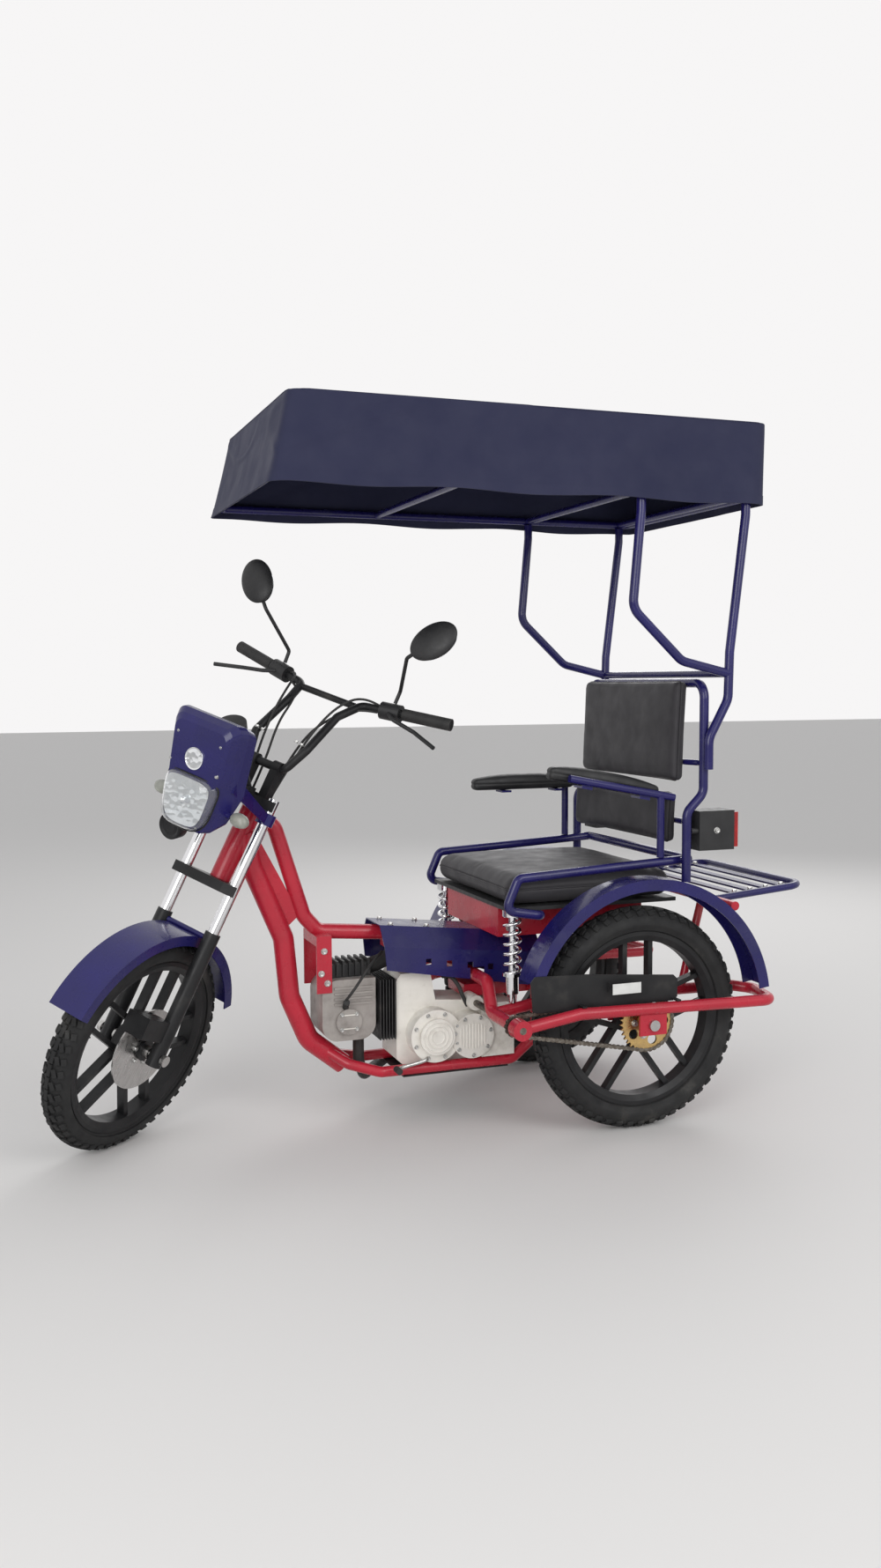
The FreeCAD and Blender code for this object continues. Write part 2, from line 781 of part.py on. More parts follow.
outer_plate = axle_plate("OuterAxlePlate", rail_outer_y)
inner_plate = axle_plate("InnerAxlePlate", rail_inner_y)
left_rails = fuse("LeftRails", [rail, rail_boss, outer_plate, inner_plate, rear_strut])
right_rails = mirrored("RightRails", left_rails)
rear_cross = rod("RearCross", 12, (rack_front, -rail_outer_y + 36, rack_z),
                 (rack_front, rail_outer_y - 36, rack_z))
shaft_bore = rod("ShaftBore", 9 + bore_gap, (pivot_ahead, 150, pivot_z),
                 (pivot_ahead, rail_outer_y + 30, pivot_z))
fixed("rear_frame", cut("RearFrame", fuse("RearFrameWelded", [left_rails, right_rails, cross_tube,
                                                              rear_cross]), [shaft_bore]))

# Rear axles, with a nut at each end
axle_nut_r = size("axle_nut_r")
axle_nut_h = size("axle_nut_h")
axle_out = rail_outer_y + 4
axle_in = rail_inner_y - 4
left_axle = fuse("LeftAxle", [
    rod("LeftAxlePin", axle_r, (0, axle_in - axle_nut_h, rear_tyre_r),
        (0, axle_out + axle_nut_h, rear_tyre_r)),
    rod("LeftAxleNut", axle_nut_r, (0, axle_out, rear_tyre_r),
        (0, axle_out + axle_nut_h, rear_tyre_r)),
    rod("LeftAxleHead", axle_nut_r, (0, axle_in - axle_nut_h, rear_tyre_r),
        (0, axle_in, rear_tyre_r)),
    rod("LeftAxleInnerSpacer", axle_nut_r, (0, axle_in + 8, rear_tyre_r),
        (0, half_track - rear_hub_half - fit_gap, rear_tyre_r)),
    rod("LeftAxleOuterSpacer", axle_nut_r, (0, chain_y + 4 + fit_gap, rear_tyre_r),
        (0, axle_out - 8, rear_tyre_r)),
])
right_axle = fuse("RightAxle", [
    rod("RightAxlePin", axle_r, (0, -axle_out - axle_nut_h, rear_tyre_r),
        (0, -axle_in + axle_nut_h, rear_tyre_r)),
    rod("RightAxleNut", axle_nut_r, (0, -axle_out - axle_nut_h, rear_tyre_r),
        (0, -axle_out, rear_tyre_r)),
    rod("RightAxleHead", axle_nut_r, (0, -axle_in, rear_tyre_r),
        (0, -axle_in + axle_nut_h, rear_tyre_r)),
    rod("RightAxleInnerSpacer", axle_nut_r, (0, -half_track + rear_hub_half + fit_gap, rear_tyre_r),
        (0, -axle_in - 8, rear_tyre_r)),
    rod("RightAxleOuterSpacer", axle_nut_r, (0, -axle_out + 8, rear_tyre_r),
        (0, -half_track - rear_hub_half - fit_gap, rear_tyre_r)),
])
fixed("rear_axles", group("RearAxles", [left_axle, right_axle]))

# Jackshaft through the cross tube's left boss, with the small driving sprocket
small_teeth = int(float(size("small_teeth")))
small_r = float(chain_pitch) / (2 * math.sin(math.pi / small_teeth))
engine_half = size("engine_half")
jackshaft = rod("Jackshaft", 9, (pivot_ahead, engine_half + fit_gap, pivot_z),
                (pivot_ahead, rail_outer_y + 16, pivot_z))
small_sprocket = document.addObject("Part::Feature", "SmallSprocket")
small_sprocket.Shape = sprocket_shape(small_teeth, small_r, chain_slope, ((0, 8, 1),))
place(small_sprocket, (pivot_ahead, chain_y, pivot_z))
fixed("jackshaft", fuse("JackshaftWhole", [jackshaft, small_sprocket]))

# Drive chain: rollers in the tooth gaps, joined by waisted plates on both sides
chain_links = int(float(size("chain_links")))
plate_gap = 3.4
plate_t = 1.6
eye_r = 5.2
waist = 3.4


def pitch_line():
    """The line of the chain's pins: half the rear arc, the upper run, the front arc
    and so on round, as (length, point at a length, direction at a length)."""
    big = Vector(0, 0, float(rear_tyre_r))
    small = Vector(float(pivot_ahead), 0, float(pivot_z))
    spread = math.acos((pitch_r - small_r) / (small - big).Length)
    rear = chain_slope + math.pi
    rows = []

    def arc(centre, radius, start, end):
        def at(length):
            angle = start + (length / radius) * (1 if end > start else -1)
            return centre + Vector(math.cos(angle), 0, math.sin(angle)) * radius
        rows.append((abs(end - start) * radius, at))

    def straight(start, end):
        run = (end - start)
        rows.append((run.Length, lambda length: start + run * (length / run.Length)))

    def ray(angle):
        return Vector(math.cos(angle), 0, math.sin(angle))

    upper = chain_slope + spread
    lower = chain_slope - spread
    arc(big, pitch_r, rear, upper)
    straight(big + ray(upper) * pitch_r, small + ray(upper) * small_r)
    arc(small, small_r, upper, lower)
    straight(small + ray(lower) * small_r, big + ray(lower) * pitch_r)
    arc(big, pitch_r, lower + 2 * math.pi, rear)
    return rows


def chain_pins():
    """Where each pin of the chain lies, evenly spaced along the pitch line."""
    rows = pitch_line()
    whole = sum(length for length, at in rows)
    spots = []
    for number in range(chain_links):
        left = whole * number / chain_links
        for length, at in rows:
            if left <= length:
                spots.append(at(left))
                break
            left -= length
    return spots


def plate_rims(pins):
    """The outer and inner outlines of the linked plates, wide at the pins and waisted between."""
    rims = []
    for side in (-1, 1):
        points = []
        for number, pin in enumerate(pins):
            before = pins[number - 1]
            after = pins[(number + 1) % len(pins)]
            along = (after - before).normalize()
            across = Vector(-along.z, 0, along.x) * side
            points.append(pin - along * 2.4 + across * eye_r)
            points.append(pin + along * 2.4 + across * eye_r)
            run = (after - pin).normalize()
            points.append((pin + after) * 0.5 + Vector(-run.z, 0, run.x) * side * waist)
        points.append(points[0])
        rims.append(Part.makePolygon(points))
    rims.sort(key=lambda wire: -wire.BoundBox.DiagonalLength)
    return rims


def roller_rim(pin):
    """The eight-sided outline of one roller."""
    points = []
    for corner in range(9):
        angle = math.pi / 4 * (corner % 8 + 0.5)
        points.append(pin + Vector(math.cos(angle), 0, math.sin(angle)) * roller_r)
    return Part.makePolygon(points)


def raised(wire, across):
    """A copy of a wire moved sideways."""
    copy = wire.copy()
    copy.translate(Vector(0, across, 0))
    return copy


# The chain's skin: plate faces on four levels, their edges and the rollers' walls
pins = chain_pins()
rims = plate_rims(pins)
rollers = [roller_rim(pin) for pin in pins]
plate_out = plate_gap + plate_t
skin = []
for level in (-plate_out, plate_out):
    skin.append(Part.makeFace([raised(rim, level) for rim in rims],
                              "Part::FaceMakerBullseye"))
for level in (-plate_gap, plate_gap):
    skin.append(Part.makeFace([raised(rim, level) for rim in rims + rollers],
                              "Part::FaceMakerBullseye"))
for rim in rims:
    skin += raised(rim, -plate_out).extrude(Vector(0, plate_t, 0)).Faces
    skin += raised(rim, plate_gap).extrude(Vector(0, plate_t, 0)).Faces
for rim in rollers:
    skin += raised(rim, -plate_gap).extrude(Vector(0, plate_gap * 2, 0)).Faces
chain_skin = Part.makeCompound(skin)
chain_skin.sewShape()
chain_solid = Part.makeSolid(chain_skin.Shells[0])
if chain_solid.Volume < 0:
    chain_solid.reverse()
chain = document.addObject("Part::Feature", "DriveChain")
chain.Shape = chain_solid
place(chain, (0, chain_y, 0))
fixed("drive_chain", chain)

# Chain guard: a deep plate outboard of the chain, on two stays over the outer rail
guard_y = chain_y + 11
guard = plate("GuardPlate", "XZ_Plane", [(
    (181, 430),
    (318, 434),
    (330, 420),
    (324, 348),
    (312, 342),
    (-70, 342),
    (-82, 352),
    (-82, 398),
    (-70, 409),
)], 3)
place(guard, (0, guard_y, 0))
guard_label = box("GuardLabel", (38, 118), (guard_y + 1.5, guard_y + 3), (378, 405))
rail_top = rail_z + rail_r
guard_stay = box("GuardStay", (188, 200), (guard_y, rail_outer_y + 6),
                 (rail_top + 4.3, rail_top + 8.3))
guard_stay_rear = box("GuardStayRear", (-78, -66), (guard_y, rail_outer_y + 6),
                      (rail_top - 1.5, rail_top + 2.5))
fixed("chain_guard", fuse("ChainGuard", [guard, guard_label, guard_stay, guard_stay_rear]))

# Spine cover: a folded sheet over the spine with four square holes each side
cover_section = new_body("CoverSheet")
skirt = 160
cover_outline = sketch_on(cover_section, "CoverSheet_section", "YZ_Plane", [(
    (-100, -skirt),
    (-97, -skirt),
    (-97, -53),
    (-58, -cover_t),
    (58, -cover_t),
    (97, -53),
    (97, -skirt),
    (100, -skirt),
    (100, -51),
    (60, 0),
    (-60, 0),
    (-100, -51),
)])
padded(cover_section, "CoverSheet_pad", cover_outline, cover_front - cover_rear + 20, False)
cover_tilt = Rotation(Vector(0, 1, 0), -math.degrees(math.atan(cover_slope)))
place(cover_section, (cover_rear - 4, 0, cover_top(cover_rear - 4)), cover_tilt)
arch_ahead = float(pivot_ahead) - 12
cover_cuts = []
for hole_x, hole_z in ((491, 428), (433, 419), (374, 411), (316, 402)):
    cover_cuts.append(box(f"CoverHole{hole_x}", (hole_x - 8, hole_x + 8), (-120, 120),
                          (hole_z - 8, hole_z + 8)))
cover_cuts.append(plate("CoverTrim", "XZ_Plane", [(
    (100, 560),
    (168, 482),
    (166, 430),
    (206, 343),
    (arch_ahead - 20, 343 + (arch_ahead - 226) * 0.1775),
    (arch_ahead - 20, 404),
    (arch_ahead + 20, 404),
    (arch_ahead + 20, 343 + (arch_ahead - 186) * 0.1775),
    (606, 414),
    (612, 476),
    (614, 560),
    (680, 560),
    (680, 200),
    (100, 200),
)], 260))
fixed("spine_cover", cut("SpineCover", cover_section, cover_cuts))

cushion_base_z = size("cushion_base_z")
seat_board_t = size("seat_board_t")
cushion_front = size("cushion_front")
cushion_rear = size("cushion_rear")
cushion_half = size("cushion_half")
cushion_t = size("cushion_t")
# Seat support: a red box that stands on the spine's cover
box_front = 330
board_low = cushion_base_z - fit_gap - seat_board_t
box_foot = 186
fixed("seat_support", fuse("SeatSupport", [
    box("SeatBox", (-90, box_front), (-185, 185),
        (cover_top(box_front) + fit_gap, board_low - fit_gap)),
    box("SeatBoxFoot", (box_foot - 14, box_foot), (-56, 56),
        (cover_top(box_foot) + fit_gap, spine_z + 12)),
]))
# Seat board under the cushion
fixed("seat_board", group("SeatBoardSet", [
    box("SeatBoard", (cushion_rear + 4, cushion_front - 6),
        (-cushion_half + 6, cushion_half - 6), (board_low, cushion_base_z - fit_gap)),
]))

# Seat springs: a coil at each front corner, from the inner rail to the seat board
spring_ahead = 315
spring_wire_r = 4.5
spring_turns = 6
spring_low = pivot_z + (rail_z + 4 - pivot_z) * 0.317 + rail_r + 2.3
spring_high = board_low - fit_gap
spring_coil_r = 20
helix = document.addObject("Part::Helix", "SpringHelix")
spring_run = spring_high - spring_low - 90
bind(helix, Pitch=spring_run / spring_turns, Height=spring_run, Radius=measure(spring_coil_r))
helix.Placement = Placement(Vector(spring_ahead, float(rail_inner_y), float(spring_high) - 14
                                   - float(spring_run)), Rotation())
wire_ring = document.addObject("Part::Circle", "SpringWireRing")
wire_ring.Radius = spring_wire_r
wire_ring.Placement = Placement(
    helix.Placement.Base + Vector(spring_coil_r, 0, 0), Rotation(Vector(1, 0, 0), 90))
document.recompute()
coil = document.addObject("Part::Sweep", "SpringCoil")
coil.Sections = [wire_ring]
coil.Spine = (helix, [f"Edge{number + 1}" for number in range(len(helix.Shape.Edges))])
coil.Solid = True
coil.Frenet = True
spring_parts = [
    coil,
    rod("SpringRod", 9, (spring_ahead, rail_inner_y, spring_low),
        (spring_ahead, rail_inner_y, spring_high)),
    rod("SpringCap", 25, (spring_ahead, rail_inner_y, spring_high - 16),
        (spring_ahead, rail_inner_y, spring_high)),
    rod("SpringSeat", 25, (spring_ahead, rail_inner_y, spring_high - 20 - spring_run),
        (spring_ahead, rail_inner_y, spring_high - 12 - spring_run)),
    rod("SpringBody", 17, (spring_ahead, rail_inner_y, spring_low + 24),
        (spring_ahead, rail_inner_y, spring_high - 14 - spring_run)),
]
fixed("seat_springs", pair("SeatSprings", fuse("LeftSpring", spring_parts)))

# Seat frame: a bent rail along each side of the cushion, joined behind it
seat_rail_r = size("seat_rail_r")
rail_gap = seat_rail_r + fit_gap
seat_rail_y = cushion_half + rail_gap
seat_rail_z = size("seat_rail_z")
seat_rail_lift = size("seat_rail_lift")
backrest_x = size("backrest_x")
backrest_foot_x = size("backrest_foot_x")
backrest_half = size("backrest_half")
seat_bend_x = 318
seat_tail_x = -172


def seat_rail_height(ahead):
    """Height of the seat's side rails, which rise to the rear."""
    share = (seat_bend_x - ahead) / (seat_bend_x - seat_tail_x)
    return seat_rail_z + seat_rail_lift * share


seat_tail_z = seat_rail_height(seat_tail_x)
seat_side = tube("SeatSide", seat_rail_r, (
    (250, 185 + fit_gap, board_low - rail_gap),
    (250, seat_rail_y, board_low - rail_gap),
    (353, seat_rail_y, board_low + 6),
    (seat_bend_x, seat_rail_y, seat_rail_z),
    (seat_tail_x, seat_rail_y, seat_tail_z),
), 20)
seat_cross = rod("SeatCross", seat_rail_r, (seat_tail_x, -seat_rail_y, seat_tail_z),
                 (seat_tail_x, seat_rail_y, seat_tail_z))
leg_height = seat_rail_height(backrest_foot_x)
seat_lugs = [seat_side, mirrored("SeatSideRight", seat_side), seat_cross]
for side in (-1, 1):
    seat_lugs.append(rod(f"SeatLug{'L' if side > 0 else 'R'}", 9,
                         (backrest_foot_x, seat_rail_y * side, leg_height),
                         (backrest_foot_x, (backrest_half - rail_gap) * side, leg_height)))
fixed("seat_frame", fuse("SeatFrame", seat_lugs))

# Seat cushion: a soft block with rounded edges
cushion_block = box("CushionBlock", (cushion_rear, cushion_front), (-cushion_half, cushion_half),
                    (cushion_base_z, cushion_base_z + cushion_t))
cushion = document.addObject("Part::Fillet", "Cushion")
cushion.Base = cushion_block
document.recompute()
top_z = float(cushion_base_z + cushion_t)
cushion.Edges = [
    (number, 24, 24)
    for number, edge in enumerate(cushion_block.Shape.Edges, start=1)
    if edge.BoundBox.ZMin > top_z - 1
]
fixed("seat_cushion", cushion)

# Backrest: a cranked tube hoop whose legs stand on the mudguards, with a bar for each pad
fender_r = size("fender_r")
fender_t = size("fender_t")
fender_inner_y = size("fender_inner_y")
fender_outer_y = size("fender_outer_y")
fender_x = -12
fender_z = rear_tyre_r + 14
backrest_top = size("backrest_top")
pad_t = size("pad_t")
pad_half = size("pad_half")
pad_split_z = size("pad_split_z")
pad_base_z = size("pad_base_z")
recline = float(size("recline"))


def fender_top(ahead):
    """Height of the rear mudguard's outer face."""
    outer = float(fender_r + fender_t)
    return float(fender_z) + math.sqrt(outer ** 2 - (ahead - fender_x) ** 2)


leg_foot_z = fender_top(float(backrest_foot_x + seat_rail_r)) + float(fit_gap)
hoop_z = backrest_top - seat_rail_r
hoop = tube("BackHoop", seat_rail_r, (
    (backrest_foot_x, -backrest_half, leg_foot_z),
    (backrest_foot_x, -backrest_half, 818),
    (backrest_x, -backrest_half, 866),
    (backrest_x, -backrest_half, hoop_z),
    (backrest_x, backrest_half, hoop_z),
    (backrest_x, backrest_half, 866),
    (backrest_foot_x, backrest_half, 818),
    (backrest_foot_x, backrest_half, leg_foot_z),
), 40)
bar_r_back = 8
upper_bar_z = 945
lower_bar_z = 790
back_tan = math.tan(math.radians(recline))
back_cos = math.cos(math.radians(recline))


def pad_back(height):
    """Where the upper pad's reclined back face lies at a height."""
    touch = float(backrest_x) + (float(seat_rail_r) + float(fit_gap)) / back_cos
    return touch + (float(hoop_z) - float(height)) * back_tan


upper_bar_x = pad_back(upper_bar_z) - (bar_r_back + float(fit_gap)) / back_cos
upper_bar = tube("UpperPadBar", bar_r_back, (
    (backrest_x, -backrest_half, upper_bar_z),
    (backrest_x, -backrest_half + 22, upper_bar_z),
    (upper_bar_x, -pad_half + 25, upper_bar_z),
    (upper_bar_x, pad_half - 25, upper_bar_z),
    (backrest_x, backrest_half - 22, upper_bar_z),
    (backrest_x, backrest_half, upper_bar_z),
), 10)
lower_bar_x = backrest_foot_x - 13
lower_bar = tube("LowerPadBar", bar_r_back, (
    (backrest_foot_x, -backrest_half, lower_bar_z),
    (backrest_foot_x, -backrest_half + 6, lower_bar_z),
    (lower_bar_x, -pad_half - 8, lower_bar_z),
    (lower_bar_x, pad_half + 8, lower_bar_z),
    (backrest_foot_x, backrest_half - 6, lower_bar_z),
    (backrest_foot_x, backrest_half, lower_bar_z),
), 10)
fixed("backrest_frame", fuse("BackrestFrame", [hoop, upper_bar, lower_bar]))


def back_pad(label, name, back_x, at_z, low, high):
    """One reclined backrest pad whose back face passes through a point."""
    height = (float(high) - float(low)) / back_cos
    block = box(f"{name}_block", (0, pad_t), (-pad_half, pad_half), (0, height))
    soft = document.addObject("Part::Fillet", name)
    soft.Base = block
    document.recompute()
    soft.Edges = [
        (number, 18, 18)
        for number, edge in enumerate(block.Shape.Edges, start=1)
        if edge.BoundBox.XMin > float(pad_t) - 1
    ]
    foot_x = back_x + (at_z - float(low)) * back_tan
    soft.Placement = Placement(Vector(foot_x, 0, float(low)), Rotation(Vector(0, 1, 0), -recline))
    fixed(label, group(f"{name}_set", [soft]))


lower_back = float(lower_bar_x) + (bar_r_back + float(fit_gap)) / back_cos
back_pad("backrest_pad_lower", "LowerPad", lower_back, lower_bar_z, pad_base_z, pad_split_z - 8)
back_pad("backrest_pad_upper", "UpperPad", pad_back(upper_bar_z), upper_bar_z, pad_split_z + 8,
         backrest_top)

# Armrests: a leg on each seat rail with a tube along its top and a pad inside the tube
arm_y = seat_rail_y
arm_z = size("arm_z")
arm_leg_x = size("arm_leg_x")
arm_tube_r = 10
arm_rear = -127
arm_front = 176
pad_start = -96
pad_width = 50


def armrest(side, lift):
    """One armrest's frame, which rises by lift to its front."""
    mark = "L" if side > 0 else "R"
    slope = float(lift) / (arm_front - arm_rear)
    leg_top = arm_z + lift * ((float(arm_leg_x) - arm_rear) / (arm_front - arm_rear))
    arm_spot = arm_y * side
    rail_level = seat_rail_height(float(arm_leg_x))
    pieces = [
        rod(f"ArmLeg{mark}", arm_tube_r,
            (arm_leg_x, arm_spot, rail_level + rail_gap + 0.7), (arm_leg_x, arm_spot, leg_top)),
        rod(f"ArmTube{mark}", arm_tube_r, (arm_rear, arm_spot, arm_z),
            (arm_front, arm_spot, arm_z + lift)),
    ]
    pad_side = float(arm_y) - arm_tube_r - float(fit_gap)
    for number, spot in enumerate((-60, 110)):
        tab = box(f"ArmTab{mark}{number + 1}", (spot, spot + 30), (0, pad_width - 7.7), (-19, -13.3))
        tab.Placement = Placement(
            Vector(0, pad_side - pad_width + 8 if side > 0 else -pad_side - 0.3, float(arm_z)),
            Rotation(Vector(0, 1, 0), -math.degrees(math.atan(slope))))
        tab.Placement = Placement(
            Vector(arm_rear, 0, 0) + tab.Placement.Base, tab.Placement.Rotation).multiply(
                Placement(Vector(spot - arm_rear, 0, -19), Rotation()))
        web = box(f"ArmWeb{mark}{number + 1}", (0, 30), (0, 6), (-19, -5))
        web.Placement = tab.Placement.multiply(
            Placement(Vector(0, pad_width - 7.7 if side > 0 else -6, 0), Rotation()))
        pieces += [tab, web]
    return fuse(f"Armrest{mark}", pieces)


arm_lift = size("arm_lift")
flat_lift = measure(0)
fixed("armrest_frames", group("ArmrestFrames", [armrest(1, arm_lift), armrest(-1, flat_lift)]))


def arm_pad(side, lift):
    """One armrest pad beside its tube."""
    mark = "L" if side > 0 else "R"
    block = box(f"ArmPadBlock{mark}", (0, 326), (0, pad_width), (0, 48))
    soft = document.addObject("Part::Fillet", f"ArmPad{mark}")
    soft.Base = block
    document.recompute()
    soft.Edges = [
        (number, 12, 12)
        for number, edge in enumerate(block.Shape.Edges, start=1)
        if edge.BoundBox.ZMin > 47
    ]
    slope = math.atan(float(lift) / (arm_front - arm_rear))
    inner = float(arm_y) - arm_tube_r - float(fit_gap)
    base = Vector(arm_rear, inner - pad_width if side > 0 else -inner, float(arm_z))
    tilt = Rotation(Vector(0, 1, 0), -math.degrees(slope))
    soft.Placement = Placement(base, tilt).multiply(
        Placement(Vector(pad_start - arm_rear, 0, -13), Rotation()))
    return soft


fixed("armrest_pads", group("ArmrestPads", [arm_pad(1, arm_lift), arm_pad(-1, flat_lift)]))

# Canopy posts: on each side a rear post beside the hoop and a cranked front post
post_r = size("post_r")
post_y = backrest_half + seat_rail_r + post_r + fit_gap
canopy_base_z = size("canopy_base_z")
hem_z = canopy_base_z + 26
canopy_tube_r = size("canopy_tube_r")
post_top_z = hem_z - canopy_tube_r - fit_gap
post_joint_z = 1178
rear_post = tube("RearPost", post_r, (
    (backrest_x, post_y, 930),
    (backrest_x, post_y, 1010),
    (-251, post_y, 1112),
    (-254, post_y, 1234),
    (-297, post_y, post_top_z - 40),
    (-297, post_y, post_top_z),
), 60)
front_post = tube("FrontPost", post_r, (
    (-252, post_y, post_joint_z),
    (-112, post_y, 1211),
    (30, post_y, 1343),
    (8, post_y, post_top_z - 40),
    (8, post_y, post_top_z),
), 50)
post_side = fuse("LeftPosts", [rear_post, front_post])
post_cross = rod("PostCross", 10, (-252, -post_y, post_joint_z), (-252, post_y, post_joint_z))
fixed("canopy_posts", fuse("CanopyPosts", [post_side, mirrored("RightPosts", post_side),
                                           post_cross]))

# Canopy: a hooped tube frame under a taut cover that is open below
canopy_front = size("canopy_front")
canopy_rear = size("canopy_rear")
canopy_half = size("canopy_half")
canopy_top_z = size("canopy_top_z")
canopy_lean = size("canopy_lean")
canopy_wall = size("canopy_wall")
canopy_taper = 18


def inside_wall(at_hem, at_top):
    """Where a hem tube lies so that it just clears the leaning wall beside it."""
    rise = float(canopy_top_z - canopy_wall - canopy_base_z) + 1
    drift = float(at_top) - float(at_hem)
    beside = float(at_hem) + drift * (float(hem_z - canopy_base_z) + 1) / rise
    reach = float(canopy_tube_r + fit_gap) * math.hypot(1, drift / rise)
    return beside - math.copysign(reach, float(at_hem))


frame_x = (
    inside_wall(canopy_rear + canopy_wall, canopy_rear - canopy_lean + canopy_taper + canopy_wall),
    inside_wall(canopy_front - canopy_wall, canopy_front - canopy_lean - canopy_taper - canopy_wall),
)
frame_y = inside_wall(canopy_half - canopy_wall, canopy_half - canopy_taper - canopy_wall)
hem_join = 60
hem_loop = tube("CanopyHem", canopy_tube_r, (
    (frame_x[0], -hem_join, hem_z),
    (frame_x[0], -frame_y, hem_z),
    (frame_x[1], -frame_y, hem_z),
    (frame_x[1], frame_y, hem_z),
    (frame_x[0], frame_y, hem_z),
    (frame_x[0], hem_join, hem_z),
), 24)
canopy_bars = [hem_loop, rod("CanopyHemRear", canopy_tube_r, (frame_x[0], -hem_join, hem_z),
                             (frame_x[0], hem_join, hem_z))]
for number, bar_x in enumerate((-297, 8, 480)):
    canopy_bars.append(rod(f"CanopyCross{number + 1}", canopy_tube_r - 1,
                           (bar_x, -frame_y, hem_z), (bar_x, frame_y, hem_z)))
fixed("canopy_frame", fuse("CanopyFrame", canopy_bars))


def canopy_block(name, inset):
    """The canopy's form: a box whose top is a little smaller and set back."""
    block = document.addObject("Part::Wedge", name)
    low = canopy_base_z if inset is None else canopy_base_z - 1
    wall = canopy_wall if inset is not None else measure(0)
    bind(
        block,
        Xmin=canopy_rear + wall, Xmax=canopy_front - wall,
        Zmin=-canopy_half + wall, Zmax=canopy_half - wall,
        Ymin=low, Ymax=canopy_top_z - wall,
        X2min=canopy_rear - canopy_lean + canopy_taper + wall,
        X2max=canopy_front - canopy_lean - canopy_taper - wall,
        Z2min=-canopy_half + canopy_taper + wall, Z2max=canopy_half - canopy_taper - wall,
    )
    block.Placement = Placement(Vector(0, 0, 0), Rotation(Vector(1, 0, 0), 90))
    return block


fixed("canopy_cover", cut("CanopyCover", canopy_block("CanopyOuter", None),
                          [canopy_block("CanopyInner", 1)]))

# Rear mudguards: a flanged arch of sheet over each rear wheel
def arch(name, centre, radius, half_width, start_angle, end_angle, lip):
    """A sheet arch about the Y axis between two angles, with a lip at each edge."""
    section = Part.makePolygon([
        Vector(radius, -half_width, 0),
        Vector(radius + float(fender_t), -half_width, 0),
        Vector(radius + float(fender_t), half_width, 0),
        Vector(radius, half_width, 0),
        Vector(radius - lip, half_width, 0),
        Vector(radius - lip, half_width - float(fender_t), 0),
        Vector(radius, half_width - float(fender_t), 0),
        Vector(radius, -half_width + float(fender_t), 0),
        Vector(radius - lip, -half_width + float(fender_t), 0),
        Vector(radius - lip, -half_width, 0),
        Vector(radius, -half_width, 0),
    ])
    face = Part.Face(section)
    face.rotate(Vector(0, 0, 0), Vector(0, 1, 0), -start_angle)
    sheet_arch = document.addObject("Part::Feature", name)
    sheet_arch.Shape = face.revolve(Vector(0, 0, 0), Vector(0, 1, 0), start_angle - end_angle)
    return place(sheet_arch, centre)


fender_middle = (fender_inner_y + fender_outer_y) / 2
fender_half = float(fender_outer_y - fender_inner_y) / 2
left_arch = arch("LeftArch", (fender_x, fender_middle, fender_z), float(fender_r), fender_half,
                 18, 172, 26)
fender_stay = rod("FenderStay", 7, (rack_front, fender_inner_y + 30, 548),
                  (rack_front, fender_inner_y + 30, rack_z - 12 - fit_gap))
fixed("rear_mudguards", pair("RearMudguards", fuse("LeftMudguard", [left_arch, fender_stay])))

# Luggage rack: a bent tube with flat slats across it
rack_rear = size("rack_rear")
rack_half = size("rack_half")
rack_rise = 24
rack_start = rack_front - 12 - fit_gap
rack_outer = tube("RackOuter", 10, (
    (rack_start, -rack_half, rack_z),
    (rack_rear, -rack_half, rack_z + rack_rise),
    (rack_rear, rack_half, rack_z + rack_rise),
    (rack_start, rack_half, rack_z),
), 45)
rack_bars = [rack_outer]
slat_w = 26
for number, slat_x in enumerate((-355, -405, -455, -505)):
    share = (float(rack_start) - slat_x) / (float(rack_start) - float(rack_rear))
    slat_z = rack_z + rack_rise * share
    rack_bars.append(box(f"RackSlat{number + 1}", (slat_x - slat_w / 2, slat_x + slat_w / 2),
                         (-rack_half, rack_half), (slat_z - 2, slat_z + 3)))
fixed("luggage_rack", fuse("LuggageRack", rack_bars))

# Tail lamps on the backrest's legs
lamp_z = 768
lamp = box("LampCase", (-283, -178), (258, 334), (716, 820))
fixed("tail_lamps", pair("TailLamps", fuse("LampWithArm", [
    lamp,
    rod("LampArm", 8, (-182, backrest_half, lamp_z),
        (backrest_foot_x - rail_gap, backrest_half, lamp_z)),
])))
fixed("tail_lenses", pair("TailLenses", box("LampLens", (-298, -283.3), (264, 328), (722, 814))))

